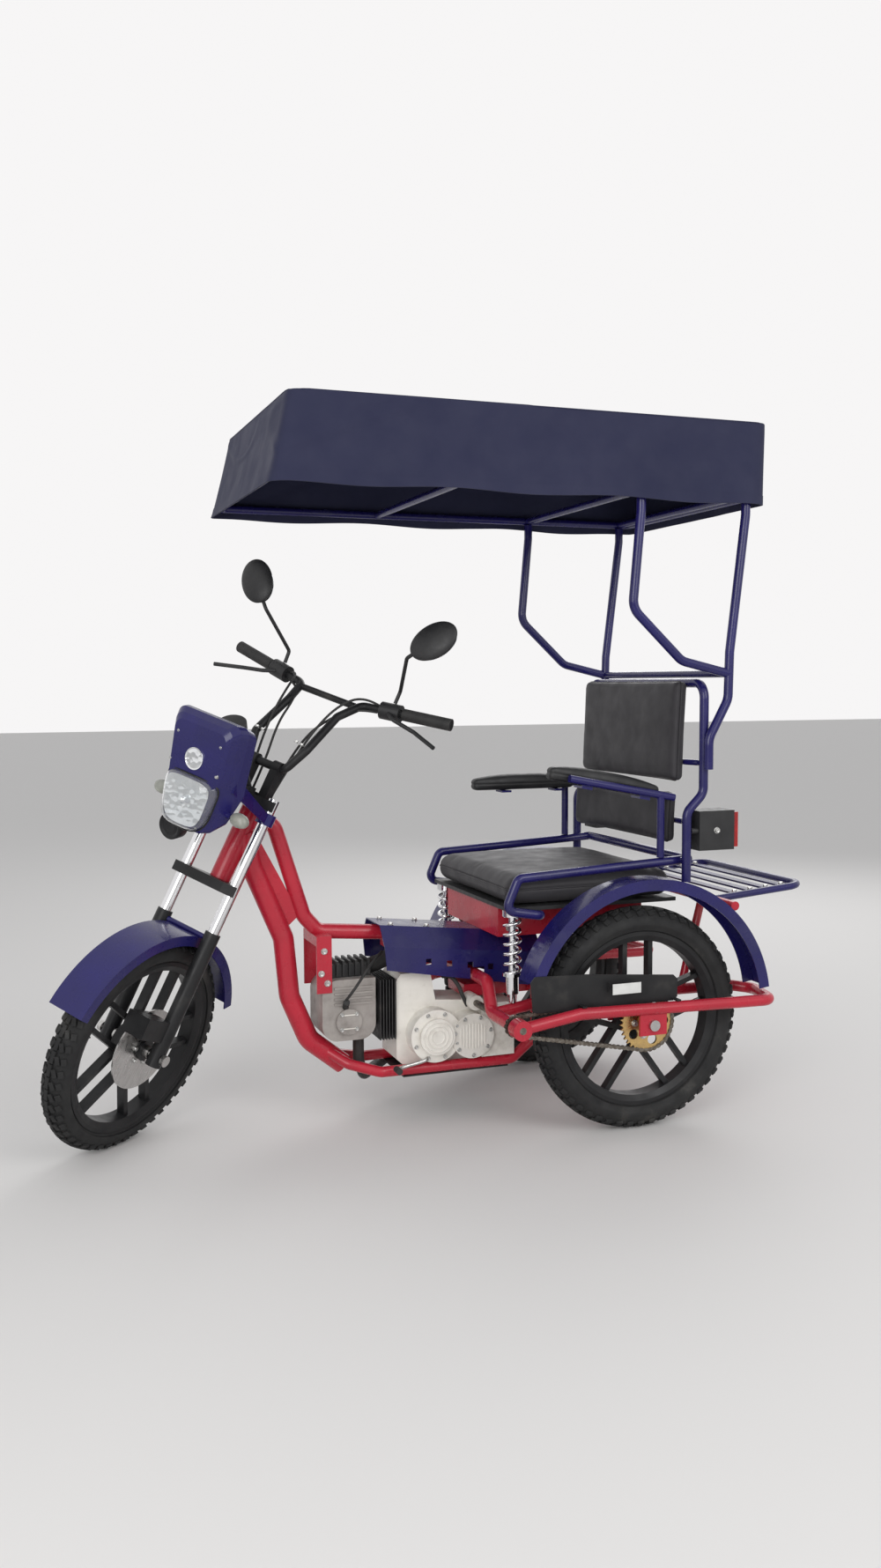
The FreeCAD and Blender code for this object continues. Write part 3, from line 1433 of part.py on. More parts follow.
# Engine: a flat single with its crankcase, covers, finned barrel and head at the front
crank_ahead = size("crank_ahead")
crank_z = size("crank_z")
case_half = 62
crankcase = plate("Crankcase", "XZ_Plane", [(
    (crank_ahead - 224, 150),
    (crank_ahead - 214, 138),
    (crank_ahead + 66, 138),
    (crank_ahead + 95, 165),
    (crank_ahead + 95, crank_z + 145),
    (crank_ahead + 82, crank_z + 163),
    (crank_ahead, crank_z + 163),
    (crank_ahead - 14, crank_z + 86),
    (crank_ahead - 150, crank_z + 74),
    (crank_ahead - 224, crank_z + 74),
)], case_half * 2)
clutch_ahead = crank_ahead - 102
clutch_z = crank_z - 8
rear_block = box("RearBlock", (crank_ahead - 224, crank_ahead - 130), (-case_half, 104),
                 (160, crank_z + 74))
case_parts = [
    crankcase,
    rear_block,
    rod("Magneto", 70, (crank_ahead, -90, crank_z), (crank_ahead, engine_half - 12, crank_z)),
    rod("MagnetoCap", 48, (crank_ahead, 0, crank_z), (crank_ahead, engine_half, crank_z)),
    rod("GearCover", 60, (clutch_ahead, -engine_half, clutch_z),
        (clutch_ahead, engine_half - 8, clutch_z)),
    rod("OutputBoss", 20, (pivot_ahead, case_half, pivot_z),
        (pivot_ahead, engine_half, pivot_z)),
    box("CaseLug", (300, 340), (-30, 30), (crank_z + 70, 317 - fit_gap)),
]
fixed("crankcase", fuse("CrankcaseWhole", case_parts))
barrel_z = crank_z + 72
barrel_start = crank_ahead + 95 + fit_gap
head_start = crank_ahead + 152
fins = [rod("Barrel", 50, (barrel_start, 0, barrel_z), (head_start - fit_gap, 0, barrel_z))]
for number in range(int(float(size("fin_count")))):
    fin_x = barrel_start + 5 + 8 * number
    fins.append(box(f"Fin{number + 1}", (fin_x, fin_x + 3), (-74, 74),
                    (barrel_z - 78, barrel_z + 82)))
fixed("cylinder", fuse("Cylinder", fins))
head_half = hanger_gap - fit_gap
head_drop = 73
head = box("HeadBlock", (head_start, head_start + 144), (-head_half, head_half),
           (barrel_z - head_drop, barrel_z + 88))
head_round = document.addObject("Part::Fillet", "HeadRound")
head_round.Base = head
document.recompute()
head_front = float(head_start) + 143
head_floor = float(barrel_z) - head_drop + 1
head_round.Edges = [
    (number, 42, 42)
    for number, edge in enumerate(head.Shape.Edges, start=1)
    if edge.BoundBox.YLength > 50 and (edge.BoundBox.XMin > head_front
                                       or edge.BoundBox.ZMax < head_floor)
]
head_parts = [head_round]
for number in range(4):
    rib_z = barrel_z + 22 + 14 * number
    head_parts.append(box(f"HeadRib{number + 1}", (head_start + 8, head_start + 112),
                          (-head_half - 5, head_half + 5), (rib_z, rib_z + 5)))
head_parts.append(rod("HeadCover", 34, (head_start + 74, -head_half - 8, barrel_z - 22),
                      (head_start + 74, head_half + 8, barrel_z - 22)))
fixed("cylinder_head", fuse("CylinderHead", head_parts))
intake_z = barrel_z + 88 + fit_gap
intake = [box("IntakeBody", (head_start + 4, head_start + 112), (-32, 32),
              (intake_z, intake_z + 34))]
for number in range(6):
    rib_x = head_start + 8 + 17 * number
    intake.append(box(f"IntakeRib{number + 1}", (rib_x, rib_x + 6), (-38, 38),
                      (intake_z + 4, intake_z + 44)))
fixed("carburettor", fuse("Carburettor", intake))
port_ahead = head_start + 30
exhaust = tube("ExhaustPipe", 15, (
    (port_ahead, 0, barrel_z - head_drop - fit_gap),
    (port_ahead, 0, 155),
    (port_ahead - 26, -40, 103),
    (560, -132, 101),
    (440, -178, 155),
    (300, -182, 172),
), 34)
silencer = rod("Silencer", 38, (310, -182, 172), (-10, -182, 172))
tailpipe = rod("Tailpipe", 12, (-5, -182, 172), (-60, -182, 172))
fixed("exhaust", fuse("Exhaust", [exhaust, silencer, tailpipe]))
fixed("skid_plate", group("SkidPlateSet", [
    box("SkidPlate", (262, 560), (-90, 90),
        (cradle_z - 14 - fit_gap - 4, cradle_z - 14 - fit_gap)),
]))

# Steering: stem and yokes, drawn upright about the steering axis
fork_half = size("fork_half")
stanchion_r = size("stanchion_r")
fork_lower_r = size("fork_lower_r")
fork_lower_top = size("fork_lower_top")


def yoke(name, low):
    """A yoke plate that clamps both stanchions."""
    body = new_body(name)
    outline = (
        (-24, -32),
        (fork_offset + 20, -fork_half - 22),
        (fork_offset + 26, -fork_half + 18),
        (fork_offset + 26, fork_half - 18),
        (fork_offset + 20, fork_half + 22),
        (-24, 32),
    )
    padded(body, f"{name}_pad", sketch_on(body, f"{name}_outline", "XY_Plane", [outline]), yoke_t,
           False)
    return place(body, (0, 0, low))


stem = rod("Stem", stem_r, (0, 0, lower_yoke_w), (0, 0, upper_yoke_w + yoke_t + 8))
yoke_bores = []
for side in (-1, 1):
    yoke_bores.append(rod(f"YokeBore{'L' if side > 0 else 'R'}", stanchion_r,
                          (fork_offset, fork_half * side, lower_yoke_w - 5),
                          (fork_offset, fork_half * side, upper_yoke_w + yoke_t + 5)))
steered("steering_yokes", cut("Yokes", fuse("YokesWelded", [
    yoke("LowerYoke", lower_yoke_w),
    yoke("UpperYoke", upper_yoke_w),
    stem,
]), yoke_bores))
stanchion = rod("Stanchion", stanchion_r, (fork_offset, fork_half, fork_lower_top - 40),
                (fork_offset, fork_half, upper_yoke_w + yoke_t + 6))
steered("fork_stanchions", pair("Stanchions", stanchion))
lower_body = rod("LowerLeg", fork_lower_r, (fork_offset, fork_half, -24),
                 (fork_offset, fork_half, fork_lower_top))
lower_bores = [
    rod("LowerLegBore", stanchion_r, (fork_offset, fork_half, fork_lower_top - 40),
        (fork_offset, fork_half, fork_lower_top + 5)),
    rod("LowerAxleBore", axle_r, (fork_offset, fork_half - 40, 0), (fork_offset, fork_half + 40, 0)),
]
steered("fork_lowers", pair("Lowers", cut("LeftLower", lower_body, lower_bores)))
axle_half = fork_half + fork_lower_r + 2
steered("front_axle", fuse("FrontAxle", [
    rod("FrontAxlePin", axle_r, (fork_offset, -axle_half, 0), (fork_offset, axle_half, 0)),
    rod("FrontAxleSpacerL", axle_nut_r, (fork_offset, front_hub_half + fit_gap, 0),
        (fork_offset, fork_half - fork_lower_r - 0.2, 0)),
    rod("FrontAxleSpacerR", axle_nut_r, (fork_offset, -fork_half + fork_lower_r + 0.2, 0),
        (fork_offset, -front_hub_half - fit_gap, 0)),
    rod("FrontAxleNutL", axle_nut_r, (fork_offset, fork_half + fork_lower_r + 0.2, 0),
        (fork_offset, axle_half + axle_nut_h, 0)),
    rod("FrontAxleNutR", axle_nut_r, (fork_offset, -axle_half - axle_nut_h, 0),
        (fork_offset, -fork_half - fork_lower_r - 0.2, 0)),
]))

# Handlebar: tall swept-back risers, a brace between them and level ends
bar_r = size("bar_r")
bar_clamp_w = upper_yoke_w + size("bar_rise")
bar_half = size("bar_half")
bar_x = 27
bar = tube("Bar", bar_r, (
    (-139, -bar_half, bar_clamp_w + 281),
    (-118, -100, bar_clamp_w + 244),
    (-62, -80, bar_clamp_w + 186),
    (10, -84, bar_clamp_w + 70),
    (bar_x, -58, bar_clamp_w),
    (bar_x, 58, bar_clamp_w),
    (10, 84, bar_clamp_w + 70),
    (-62, 80, bar_clamp_w + 186),
    (-118, 100, bar_clamp_w + 244),
    (-139, bar_half, bar_clamp_w + 281),
), 24)
bar_cross = rod("BarCross", 9, (-108, -86, bar_clamp_w + 234), (-108, 86, bar_clamp_w + 234))
bar_parts = [bar, bar_cross]
for side in (-1, 1):
    bar_parts.append(rod(f"BarClamp{'L' if side > 0 else 'R'}", 17, (bar_x, side * 26, bar_clamp_w),
                         (bar_x, side * 52, bar_clamp_w)))
    bar_parts.append(box(f"BarRiser{'L' if side > 0 else 'R'}", (bar_x - 15, bar_x + 15),
                         (side * 39 - 12, side * 39 + 12),
                         (upper_yoke_w + yoke_t + fit_gap, bar_clamp_w)))
steered("handlebar", fuse("Handlebar", bar_parts))
grip_r = size("grip_r")
grip_len = size("grip_len")
bar_inner = Vector(-118, 100, float(bar_clamp_w) + 244)
bar_end = Vector(-139, float(bar_half), float(bar_clamp_w) + 281)
bar_run = (bar_end - bar_inner).normalize()


def sleeve(name, outer_r, inner_r, start, end):
    """A tube between two points of the bar."""
    outer = rod(name + "_outer", outer_r, tuple(start), tuple(end))
    run = (end - start).normalize()
    bore = rod(name + "_bore", inner_r, tuple(start - run * 3), tuple(end + run * 3))
    return cut(name, outer, [bore])


grip = sleeve("Grip", grip_r, bar_r + fit_gap, bar_end - bar_run * (float(grip_len) - 2),
              bar_end + bar_run * 2)
steered("grips", pair("Grips", grip))
control_start = bar_end - bar_run * (float(grip_len) + 62)
control_end = bar_end - bar_run * (float(grip_len) + 6)
control_case = sleeve("ControlCase", 23, bar_r + fit_gap, control_start, control_end)
control_middle = (control_start + control_end) * 0.5
lever_root = control_middle + Vector(18, 4, -8)
lever = tube("Lever", 5.5, (
    tuple(lever_root),
    tuple(lever_root + Vector(16, 30, -14)),
    tuple(lever_root + Vector(8, 96, -24)),
    tuple(lever_root + Vector(28, 176, -46)),
), 14)
steered("controls", pair("Controls", fuse("LeftControl", [control_case, lever])))

# Mirrors on cranked stalks
mirror_root = control_middle + Vector(0, 0, 24.3)
mirror_middle = Vector(5, 286, float(bar_clamp_w) + 443)
mirror_stalk = tube("MirrorStalk", 5, (
    tuple(mirror_root),
    tuple(mirror_root + Vector(3, 1, 34)),
    (-6, 230, bar_clamp_w + 382),
    tuple(mirror_middle - Vector(0, 12, 14)),
), 12)
mirror_head = document.addObject("Part::Ellipsoid", "MirrorHead")
mirror_head.Radius1 = 66
mirror_head.Radius2 = 16
mirror_head.Radius3 = 46
mirror_head.Placement = Placement(mirror_middle, Rotation(Vector(1, 0, 0), -42))
steered("mirrors", pair("Mirrors", fuse("LeftMirror", [mirror_stalk, mirror_head])))

# Headlight cowl on the fork, upright in the vehicle's own frame
upright = Rotation(Vector(0, 1, 0), math.degrees(rake))


def cowl_spot(ahead, across, above):
    """A point given ahead of and above the axis foot, in the drawn steering frame."""
    spot = upright.multVec(Vector(ahead, across, above))
    return spot


# Stations of the cowl: ahead, half width above, half width below, low edge, high edge and
# how far its top leans back
cowl_stations = (
    (-112, 112, 98, 668, 850, 0),
    (-84, 108, 84, 606, 862, 6),
    (-52, 100, 70, 588, 866, 16),
    (-28, 90, 62, 590, 856, 24),
    (-14, 81, 56, 600, 843, 28),
)


def cowl_ring(ahead, half_high, half_low, low, high, lean):
    """One rounded four-sided station, wider above than below."""
    corners = [cowl_spot(ahead - (lean if height == high else 0), across, height)
               for across, height in (
                   (0, high), (half_high, high), (half_low, low), (-half_low, low),
                   (-half_high, high), (0, high))]
    return bent_path(corners, 22)


def lofted(stations, wall):
    """A solid through the stations, drawn in by a wall thickness."""
    return Part.makeLoft([
        cowl_ring(ahead, high_half - wall, low_half - wall, low + wall, high - wall, lean)
        for ahead, high_half, low_half, low, high, lean in stations
    ], True, True)


cowl_wall = 4
cowl = document.addObject("Part::Feature", "Cowl")
hollow_stations = [(-113,) + cowl_stations[0][1:]] + [
    (row[0] - cowl_wall,) + row[1:] for row in cowl_stations[1:-1]]
cowl.Shape = lofted(cowl_stations, 0).cut(lofted(hollow_stations, cowl_wall))
ear_w = upper_yoke_w - 20
ear_ring = sleeve("EarRing", 23, stanchion_r + fit_gap,
                  Vector(float(fork_offset), float(fork_half), float(ear_w) - 15),
                  Vector(float(fork_offset), float(fork_half), float(ear_w) + 15))
ear_inner = 89
ear_plate = document.addObject("Part::Feature", "EarPlate")
ear_corners = [Vector(62, ear_inner, float(ear_w) - 12), Vector(62, ear_inner, float(ear_w) + 12),
               cowl_spot(-88, ear_inner, 735), cowl_spot(-76, ear_inner, 700)]
ear_plate.Shape = Part.Face(Part.makePolygon(ear_corners + ear_corners[:1])).extrude(
    Vector(0, 5, 0))
ear_stub = document.addObject("Part::Feature", "IndicatorStub")
stub_start = cowl_spot(-80, 70, 640)
stub_length = 26
ear_stub.Shape = Part.makeCylinder(7, stub_length, stub_start, Vector(0, 1, 0))
ear = fuse("Ear", [ear_ring, ear_plate, ear_stub])
steered("headlight_cowl", fuse("CowlWithEars", [cowl, ear, mirrored("EarRight", ear)]))
lens = document.addObject("Part::Feature", "HeadlightLens")
lens.Shape = Part.makeLoft([
    cowl_ring(-14 + float(fit_gap), 68, 55, 603, 722, 13.7),
    cowl_ring(-2, 65, 52, 607, 719, 15),
    cowl_ring(7, 48, 38, 624, 704, 15),
], True, True)
steered("headlight_lens", lens)

# Instrument behind the cowl, on a stay from the upper yoke
dial_centre = cowl_spot(-150, 0, 836)
dial_back = cowl_spot(-164, 0, 800)
instrument = fuse("Instrument", [
    rod("DialCase", 36, tuple(dial_back), tuple(dial_centre)),
    rod("DialStay", 8, (52, 0, upper_yoke_w + yoke_t + 10), tuple(dial_back + Vector(4, 0, 10))),
    box("DialFoot", (38, 66), (-13, 13),
        (upper_yoke_w + yoke_t + fit_gap, upper_yoke_w + yoke_t + 15)),
])
steered("instrument", instrument)

# Front indicators each side of the cowl
indicator = document.addObject("Part::Ellipsoid", "Indicator")
indicator.Radius1 = 18
indicator.Radius2 = 18
indicator.Radius3 = 26
indicator_spot = stub_start + Vector(0, stub_length + float(fit_gap) + 26, 0)
indicator.Placement = Placement(indicator_spot, Rotation())
steered("indicators", pair("Indicators", indicator))

# Front mudguard between the fork legs
front_fender_r = size("front_fender_r")
front_arch = arch("FrontArch", (fork_offset, 0, 0), float(front_fender_r),
                  float(size("front_fender_half")), 10, 150, 24)
fender_bridge = rod("FenderBridge", 7, (fork_offset, -fork_half + fork_lower_r, 312),
                    (fork_offset, fork_half - fork_lower_r, 312))
steered("front_mudguard", fuse("FrontMudguard", [front_arch, fender_bridge]))

# Brake caliper on the left fork lower
caliper_base = box("CaliperBlock", (fork_offset + fork_lower_r + fit_gap, fork_offset + 104),
                   (disc_low - 12, fork_half + 8), (38, 92))
caliper_slot = rod("CaliperSlot", disc_r + 3, (fork_offset, disc_low - 3, 0),
                   (fork_offset, disc_high + 3, 0))
caliper_hub_room = rod("CaliperHubRoom", hub_r + 8, (fork_offset, 0, 0), (fork_offset, 60, 0))
steered("brake_caliper", cut("Caliper", caliper_base, [caliper_slot, caliper_hub_room]))

document.recompute()

# Every object has to be sound before anything is written
for item in document.Objects:
    if any(word in ("Invalid", "Error") for word in item.State):
        raise RuntimeError(f"{item.Name} ({item.Label}) did not build: {item.State}")
for piece in nodes:
    shape = piece.Shape
    if shape.isNull() or not shape.isValid() or not shape.Solids:
        raise RuntimeError(f"{piece.Label} has no sound solid")

for piece in nodes:
    piece.Shape.exportStep(f"parts/{piece.Label}.step")

bounds = FreeCAD.BoundBox()
for piece in nodes:
    bounds.add(piece.Shape.optimalBoundingBox(False, False))
print(f"nodes {len(nodes)}")
print(f"x {bounds.XMin:.1f} {bounds.XMax:.1f}  y {bounds.YMin:.1f} {bounds.YMax:.1f}  "
      f"z {bounds.ZMin:.2f} {bounds.ZMax:.1f}")
print(f"steering foot {axis_foot.x:.2f} {axis_foot.y:.2f} {axis_foot.z:.2f}")
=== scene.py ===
import bpy
import math
from mathutils import Euler, Matrix, Vector, noise


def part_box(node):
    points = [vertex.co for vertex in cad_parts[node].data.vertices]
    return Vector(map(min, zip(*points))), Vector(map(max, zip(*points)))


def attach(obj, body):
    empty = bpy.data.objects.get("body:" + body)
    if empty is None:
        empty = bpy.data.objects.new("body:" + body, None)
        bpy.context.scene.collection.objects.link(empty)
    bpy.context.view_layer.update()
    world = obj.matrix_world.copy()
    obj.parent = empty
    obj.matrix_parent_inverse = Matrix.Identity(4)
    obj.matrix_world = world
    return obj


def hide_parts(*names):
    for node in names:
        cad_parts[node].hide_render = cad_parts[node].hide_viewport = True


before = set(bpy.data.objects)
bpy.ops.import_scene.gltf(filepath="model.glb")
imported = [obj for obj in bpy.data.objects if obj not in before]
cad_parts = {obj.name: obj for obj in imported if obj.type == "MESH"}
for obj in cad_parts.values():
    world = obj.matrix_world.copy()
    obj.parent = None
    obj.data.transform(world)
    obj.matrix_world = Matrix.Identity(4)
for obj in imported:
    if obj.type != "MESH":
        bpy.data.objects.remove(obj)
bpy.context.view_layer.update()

# The camera stands to the left and ahead of the vehicle at chest height, and
# looks back at it a little downwards, as a person with a telephone would.
camera = bpy.data.objects.new("camera", bpy.data.cameras.new("camera"))
bpy.context.collection.objects.link(camera)
camera.data.sensor_fit = "VERTICAL"
camera.data.sensor_height = 36
camera.data.lens = 30.22
camera.data.clip_end = 60
aim = Euler((math.radians(85.611), 0, math.radians(159.737))).to_matrix()
aim = aim @ Matrix.Rotation(math.radians(-0.25), 3, "Z")
camera.matrix_world = Matrix.Translation((1.185, 3.306, 1.157)) @ aim.to_4x4()
bpy.context.scene.camera = camera
bpy.context.scene.view_settings.view_transform = "Standard"

# A plain pale floor, lit by a level sky and three broad soft lamps. Rays from
# the camera see the sky as white, and the floor's paint is close to it.
bpy.ops.object.select_all(action="DESELECT")
bpy.ops.mesh.primitive_plane_add(size=60, location=(0, 0, -0.001))
floor = bpy.context.object
floor.name = "floor"
floor_paint = bpy.data.materials.new("floor_paint")
floor_paint.use_nodes = True
floor_shader = floor_paint.node_tree.nodes["Principled BSDF"]
floor_shader.inputs["Base Color"].default_value = (0.78, 0.765, 0.75, 1)
floor_shader.inputs["Roughness"].default_value = 0.7
floor_shader.inputs["Specular IOR Level"].default_value = 0.2
floor.data.materials.append(floor_paint)

world = bpy.data.worlds.new("studio")
bpy.context.scene.world = world
world.use_nodes = True
air = world.node_tree
air.nodes["Background"].inputs["Strength"].default_value = 0.55
air.nodes["Background"].inputs["Color"].default_value = (0.97, 0.98, 1.0, 1)
white_air = air.nodes.new("ShaderNodeBackground")
white_air.inputs["Strength"].default_value = 1.0
white_air.inputs["Color"].default_value = (0.93, 0.92, 0.92, 1)
ray = air.nodes.new("ShaderNodeLightPath")
seen = air.nodes.new("ShaderNodeMath")
seen.operation = "MAXIMUM"
seen_through = air.nodes.new("ShaderNodeMath")
seen_through.operation = "MAXIMUM"
mixed_air = air.nodes.new("ShaderNodeMixShader")
air.links.new(ray.outputs["Is Camera Ray"], seen.inputs[0])
air.links.new(ray.outputs["Is Glossy Ray"], seen.inputs[1])
air.links.new(seen.outputs[0], seen_through.inputs[0])
air.links.new(ray.outputs["Is Transmission Ray"], seen_through.inputs[1])
air.links.new(seen_through.outputs[0], mixed_air.inputs[0])
air.links.new(air.nodes["Background"].outputs[0], mixed_air.inputs[1])
air.links.new(white_air.outputs[0], mixed_air.inputs[2])
air.links.new(mixed_air.outputs[0], air.nodes["World Output"].inputs[0])

for name, place, size, watts in (
    ("front_lamp", (3.0, 3.6, 2.2), 2.4, 78),
    ("side_lamp", (-1.6, 4.2, 2.8), 2.6, 62),
    ("back_lamp", (-2.6, -3.0, 3.2), 2.8, 55),
):
    lamp = bpy.data.objects.new(name, bpy.data.lights.new(name, "AREA"))
    bpy.context.collection.objects.link(lamp)
    lamp.data.size = size
    lamp.data.energy = watts
    lamp.location = place
    lamp.rotation_euler = (Vector((0, 0, 0.7)) - Vector(place)).to_track_quat("-Z", "Y").to_euler()

# The frame: a red enamelled main frame of welded tube, the rear frame that
# carries the two wheels, and the red box under the seat.
REAR_AXLE = -0.455


def speckle(tree, where, scale, detail, rough=0.5, stretch=(1, 1, 1)):
    """A noise pattern at a scale, drawn out along an axis where it is asked."""
    spread = tree.nodes.new("ShaderNodeMapping")
    spread.inputs["Scale"].default_value = stretch
    pattern = tree.nodes.new("ShaderNodeTexNoise")
    pattern.inputs["Scale"].default_value = scale
    pattern.inputs["Detail"].default_value = detail
    pattern.inputs["Roughness"].default_value = rough
    tree.links.new(where, spread.inputs["Vector"])
    tree.links.new(spread.outputs["Vector"], pattern.inputs["Vector"])
    return pattern.outputs["Fac"]


def ramp(tree, source, stops):
    """Turns a pattern's value into a colour between stops."""
    tint = tree.nodes.new("ShaderNodeValToRGB")
    for number, (spot, colour) in enumerate(stops):
        if number < 2:
            stop = tint.color_ramp.elements[number]
            stop.position = spot
        else:
            stop = tint.color_ramp.elements.new(spot)
        stop.color = (*colour, 1)
    tree.links.new(source, tint.inputs["Fac"])
    return tint.outputs["Color"]


def spread_value(tree, source, low, high):
    """Stretches a pattern's middle range between two values."""
    span = tree.nodes.new("ShaderNodeMapRange")
    span.inputs["From Min"].default_value = 0.3
    span.inputs["From Max"].default_value = 0.7
    span.inputs["To Min"].default_value = low
    span.inputs["To Max"].default_value = high
    tree.links.new(source, span.inputs["Value"])
    return span.outputs["Result"]


def relief(tree, shader, source, strength, depth, under=None):
    """Raises the surface by a pattern, over another relief where there is one."""
    bump = tree.nodes.new("ShaderNodeBump")
    bump.inputs["Strength"].default_value = strength
    bump.inputs["Distance"].default_value = depth
    tree.links.new(source, bump.inputs["Height"])
    if under is not None:
        tree.links.new(under, bump.inputs["Normal"])
    tree.links.new(bump.outputs["Normal"], shader.inputs["Normal"])
    return bump.outputs["Normal"]


def finish(name, patches, stops, shine, *grains, metallic=0.0, sockets=None):
    """A finish whose colour, shine and relief each follow a pattern of their own.

    The shine is one roughness, or a pattern's scale and detail and its two limits.
    """
    material = bpy.data.materials.new(name)
    material.use_nodes = True
    tree = material.node_tree
    shader = tree.nodes["Principled BSDF"]
    where = tree.nodes.new("ShaderNodeTexCoord").outputs["Object"]
    tree.links.new(ramp(tree, speckle(tree, where, *patches), stops),
                   shader.inputs["Base Color"])
    if isinstance(shine, tuple):
        scale, detail, low, high = shine
        tree.links.new(spread_value(tree, speckle(tree, where, scale, detail), low, high),
                       shader.inputs["Roughness"])
    else:
        shader.inputs["Roughness"].default_value = shine
    under = None
    for pattern, strength, depth in grains:
        source = pattern(tree, where) if callable(pattern) else speckle(tree, where, *pattern)
        under = relief(tree, shader, source, strength, depth, under)
    settings = {"Metallic": metallic, **(sockets or {})}
    for socket, value in settings.items():
        shader.inputs[socket].default_value = value
    return material


def enamel(name, colour, shade, dust, roughness):
    """Sprayed gloss enamel: a little orange peel, soft shade and thin dust in patches."""
    orange_peel, flow = ((240, 2), 0.06, 0.0008), ((14, 2), 0.05, 0.004)
    return finish(name, (7, 7), ((0.30, colour), (0.58, shade), (0.86, dust)),
                  (26, 6, roughness * 0.75, roughness * 1.5), orange_peel, flow,
                  sockets={"Coat Weight": 0.18, "Coat Roughness": 0.08,
                           "Specular IOR Level": 0.35})


def dress(material, *nodes):
    """Gives CAD nodes a finish in their material slots."""
    for node in nodes:
        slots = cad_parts[node].data.materials
        slots.clear()
        slots.append(material)


red_enamel = enamel("red_enamel", (0.52, 0.018, 0.040), (0.43, 0.018, 0.036),
                    (0.36, 0.06, 0.06), 0.26)
dress(red_enamel, "main_frame", "rear_frame", "seat_support")


def alone(piece):
    """Makes a piece the only one that is selected, and the active one."""
    bpy.ops.object.select_all(action="DESELECT")
    bpy.context.view_layer.objects.active = piece
    piece.select_set(True)


def closed_up(piece):
    """Merges a mesh's doubled points and turns its faces outwards."""
    alone(piece)
    bpy.ops.object.mode_set(mode="EDIT")
    bpy.ops.mesh.select_all(action="SELECT")
    bpy.ops.mesh.remove_doubles(threshold=0.00002)
    bpy.ops.mesh.normals_make_consistent(inside=False)
    bpy.ops.object.mode_set(mode="OBJECT")


def fixed_in_place(piece):
    """Applies a piece's modifiers and puts its place into its mesh."""
    alone(piece)
    for step in list(piece.modifiers):
        bpy.ops.object.modifier_apply(modifier=step.name)
    bpy.ops.object.transform_apply(location=True, rotation=True, scale=True)


def drawn(add, **shape):
    """Adds a primitive with nothing else selected."""
    bpy.ops.object.select_all(action="DESELECT")
    add(**shape)
    return bpy.context.object


def picked(piece, wanted):
    """Opens a piece in edit mode with only the faces selected that are wanted."""
    alone(piece)
    bpy.ops.object.mode_set(mode="EDIT")
    bpy.ops.mesh.select_mode(type="FACE")
    bpy.ops.mesh.select_all(action="DESELECT")
    bpy.ops.object.mode_set(mode="OBJECT")
    for face in piece.data.polygons:
        face.select = wanted(face)
    bpy.ops.object.mode_set(mode="EDIT")


def stepped(piece, *steps):
    """Insets a piece's top face step by step, and raises or sinks each step."""
    picked(piece, lambda face: face.normal.z > 0.9)
    for inset, rise in steps:
        bpy.ops.mesh.inset(thickness=inset)
        bpy.ops.transform.translate(value=(0, 0, rise))
    bpy.ops.object.mode_set(mode="OBJECT")


def joined(pieces):
    """Makes one piece of several."""
    alone(pieces[0])
    for piece in pieces:
        piece.select_set(True)
    if len(pieces) > 1:
        bpy.ops.object.join()
    return bpy.context.object


def handed_over(piece, name, material, body, angle=32):
    """Names, smooths and paints a finished piece, and hangs it on its body."""
    fixed_in_place(piece)
    bpy.ops.object.shade_smooth_by_angle(angle=math.radians(angle))
    piece.name = name
    piece.data.name = name
    piece.data.materials.clear()
    piece.data.materials.append(material)
    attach(piece, body)
    return piece


def repeated(pattern, places):
    """Copies a piece to each place, each copy with its own mesh, and joins the copies."""
    fixed_in_place(pattern)
    copies = []
    for place in places:
        copy = pattern.copy()
        copy.data = pattern.data.copy()
        copy.data.transform(place)
        bpy.context.collection.objects.link(copy)
        copies.append(copy)
    bpy.data.objects.remove(pattern)
    return joined(copies)


def bevelled(piece, width, segments=2, angle=30):
    """Breaks a piece's sharp edges."""
    edge = piece.modifiers.new("broken_edges", "BEVEL")
    edge.width = width
    edge.segments = segments
    edge.limit_method = "ANGLE"
    edge.angle_limit = math.radians(angle)
    return piece


def facing(spot, way):
    """The place of a piece drawn along +Z, moved to a spot and pointed a way."""
    return Matrix.Translation(spot) @ Vector(way).to_track_quat("Z", "Y").to_matrix().to_4x4()


def ahead(forward, across, height):
    """A point in millimetres from the rear axle, the centre line and the floor."""
    return Vector((REAR_AXLE + forward / 1000, across / 1000, height / 1000))


def circle_of(count, radius, middle, start=0.0, side=1):
    """Places round a circle, in metres, for what faces the left or the right side."""
    places = []
    for number in range(count):
        turn = start + 2 * math.pi * number / count
        spot = Vector(middle) + Vector((radius * math.cos(turn), 0, radius * math.sin(turn)))
        places.append(facing(spot, (0, side, 0)))
    return places


def hex_bolt(width, height):
    """A hexagon head on its washer, with a rim and a dish forged in its top."""
    washer_thick = 0.0012
    washer = drawn(bpy.ops.mesh.primitive_cylinder_add, vertices=20, radius=width * 0.72,
                   depth=washer_thick, location=(0, 0, washer_thick / 2))
    head = drawn(bpy.ops.mesh.primitive_cylinder_add, vertices=6, radius=width * 0.577,
                 depth=height, location=(0, 0, washer_thick + height / 2))
    stepped(head, (width * 0.12, height * 0.12), (width * 0.12, -height * 0.16))
    return bevelled(joined([head, washer]), 0.0004, 1)


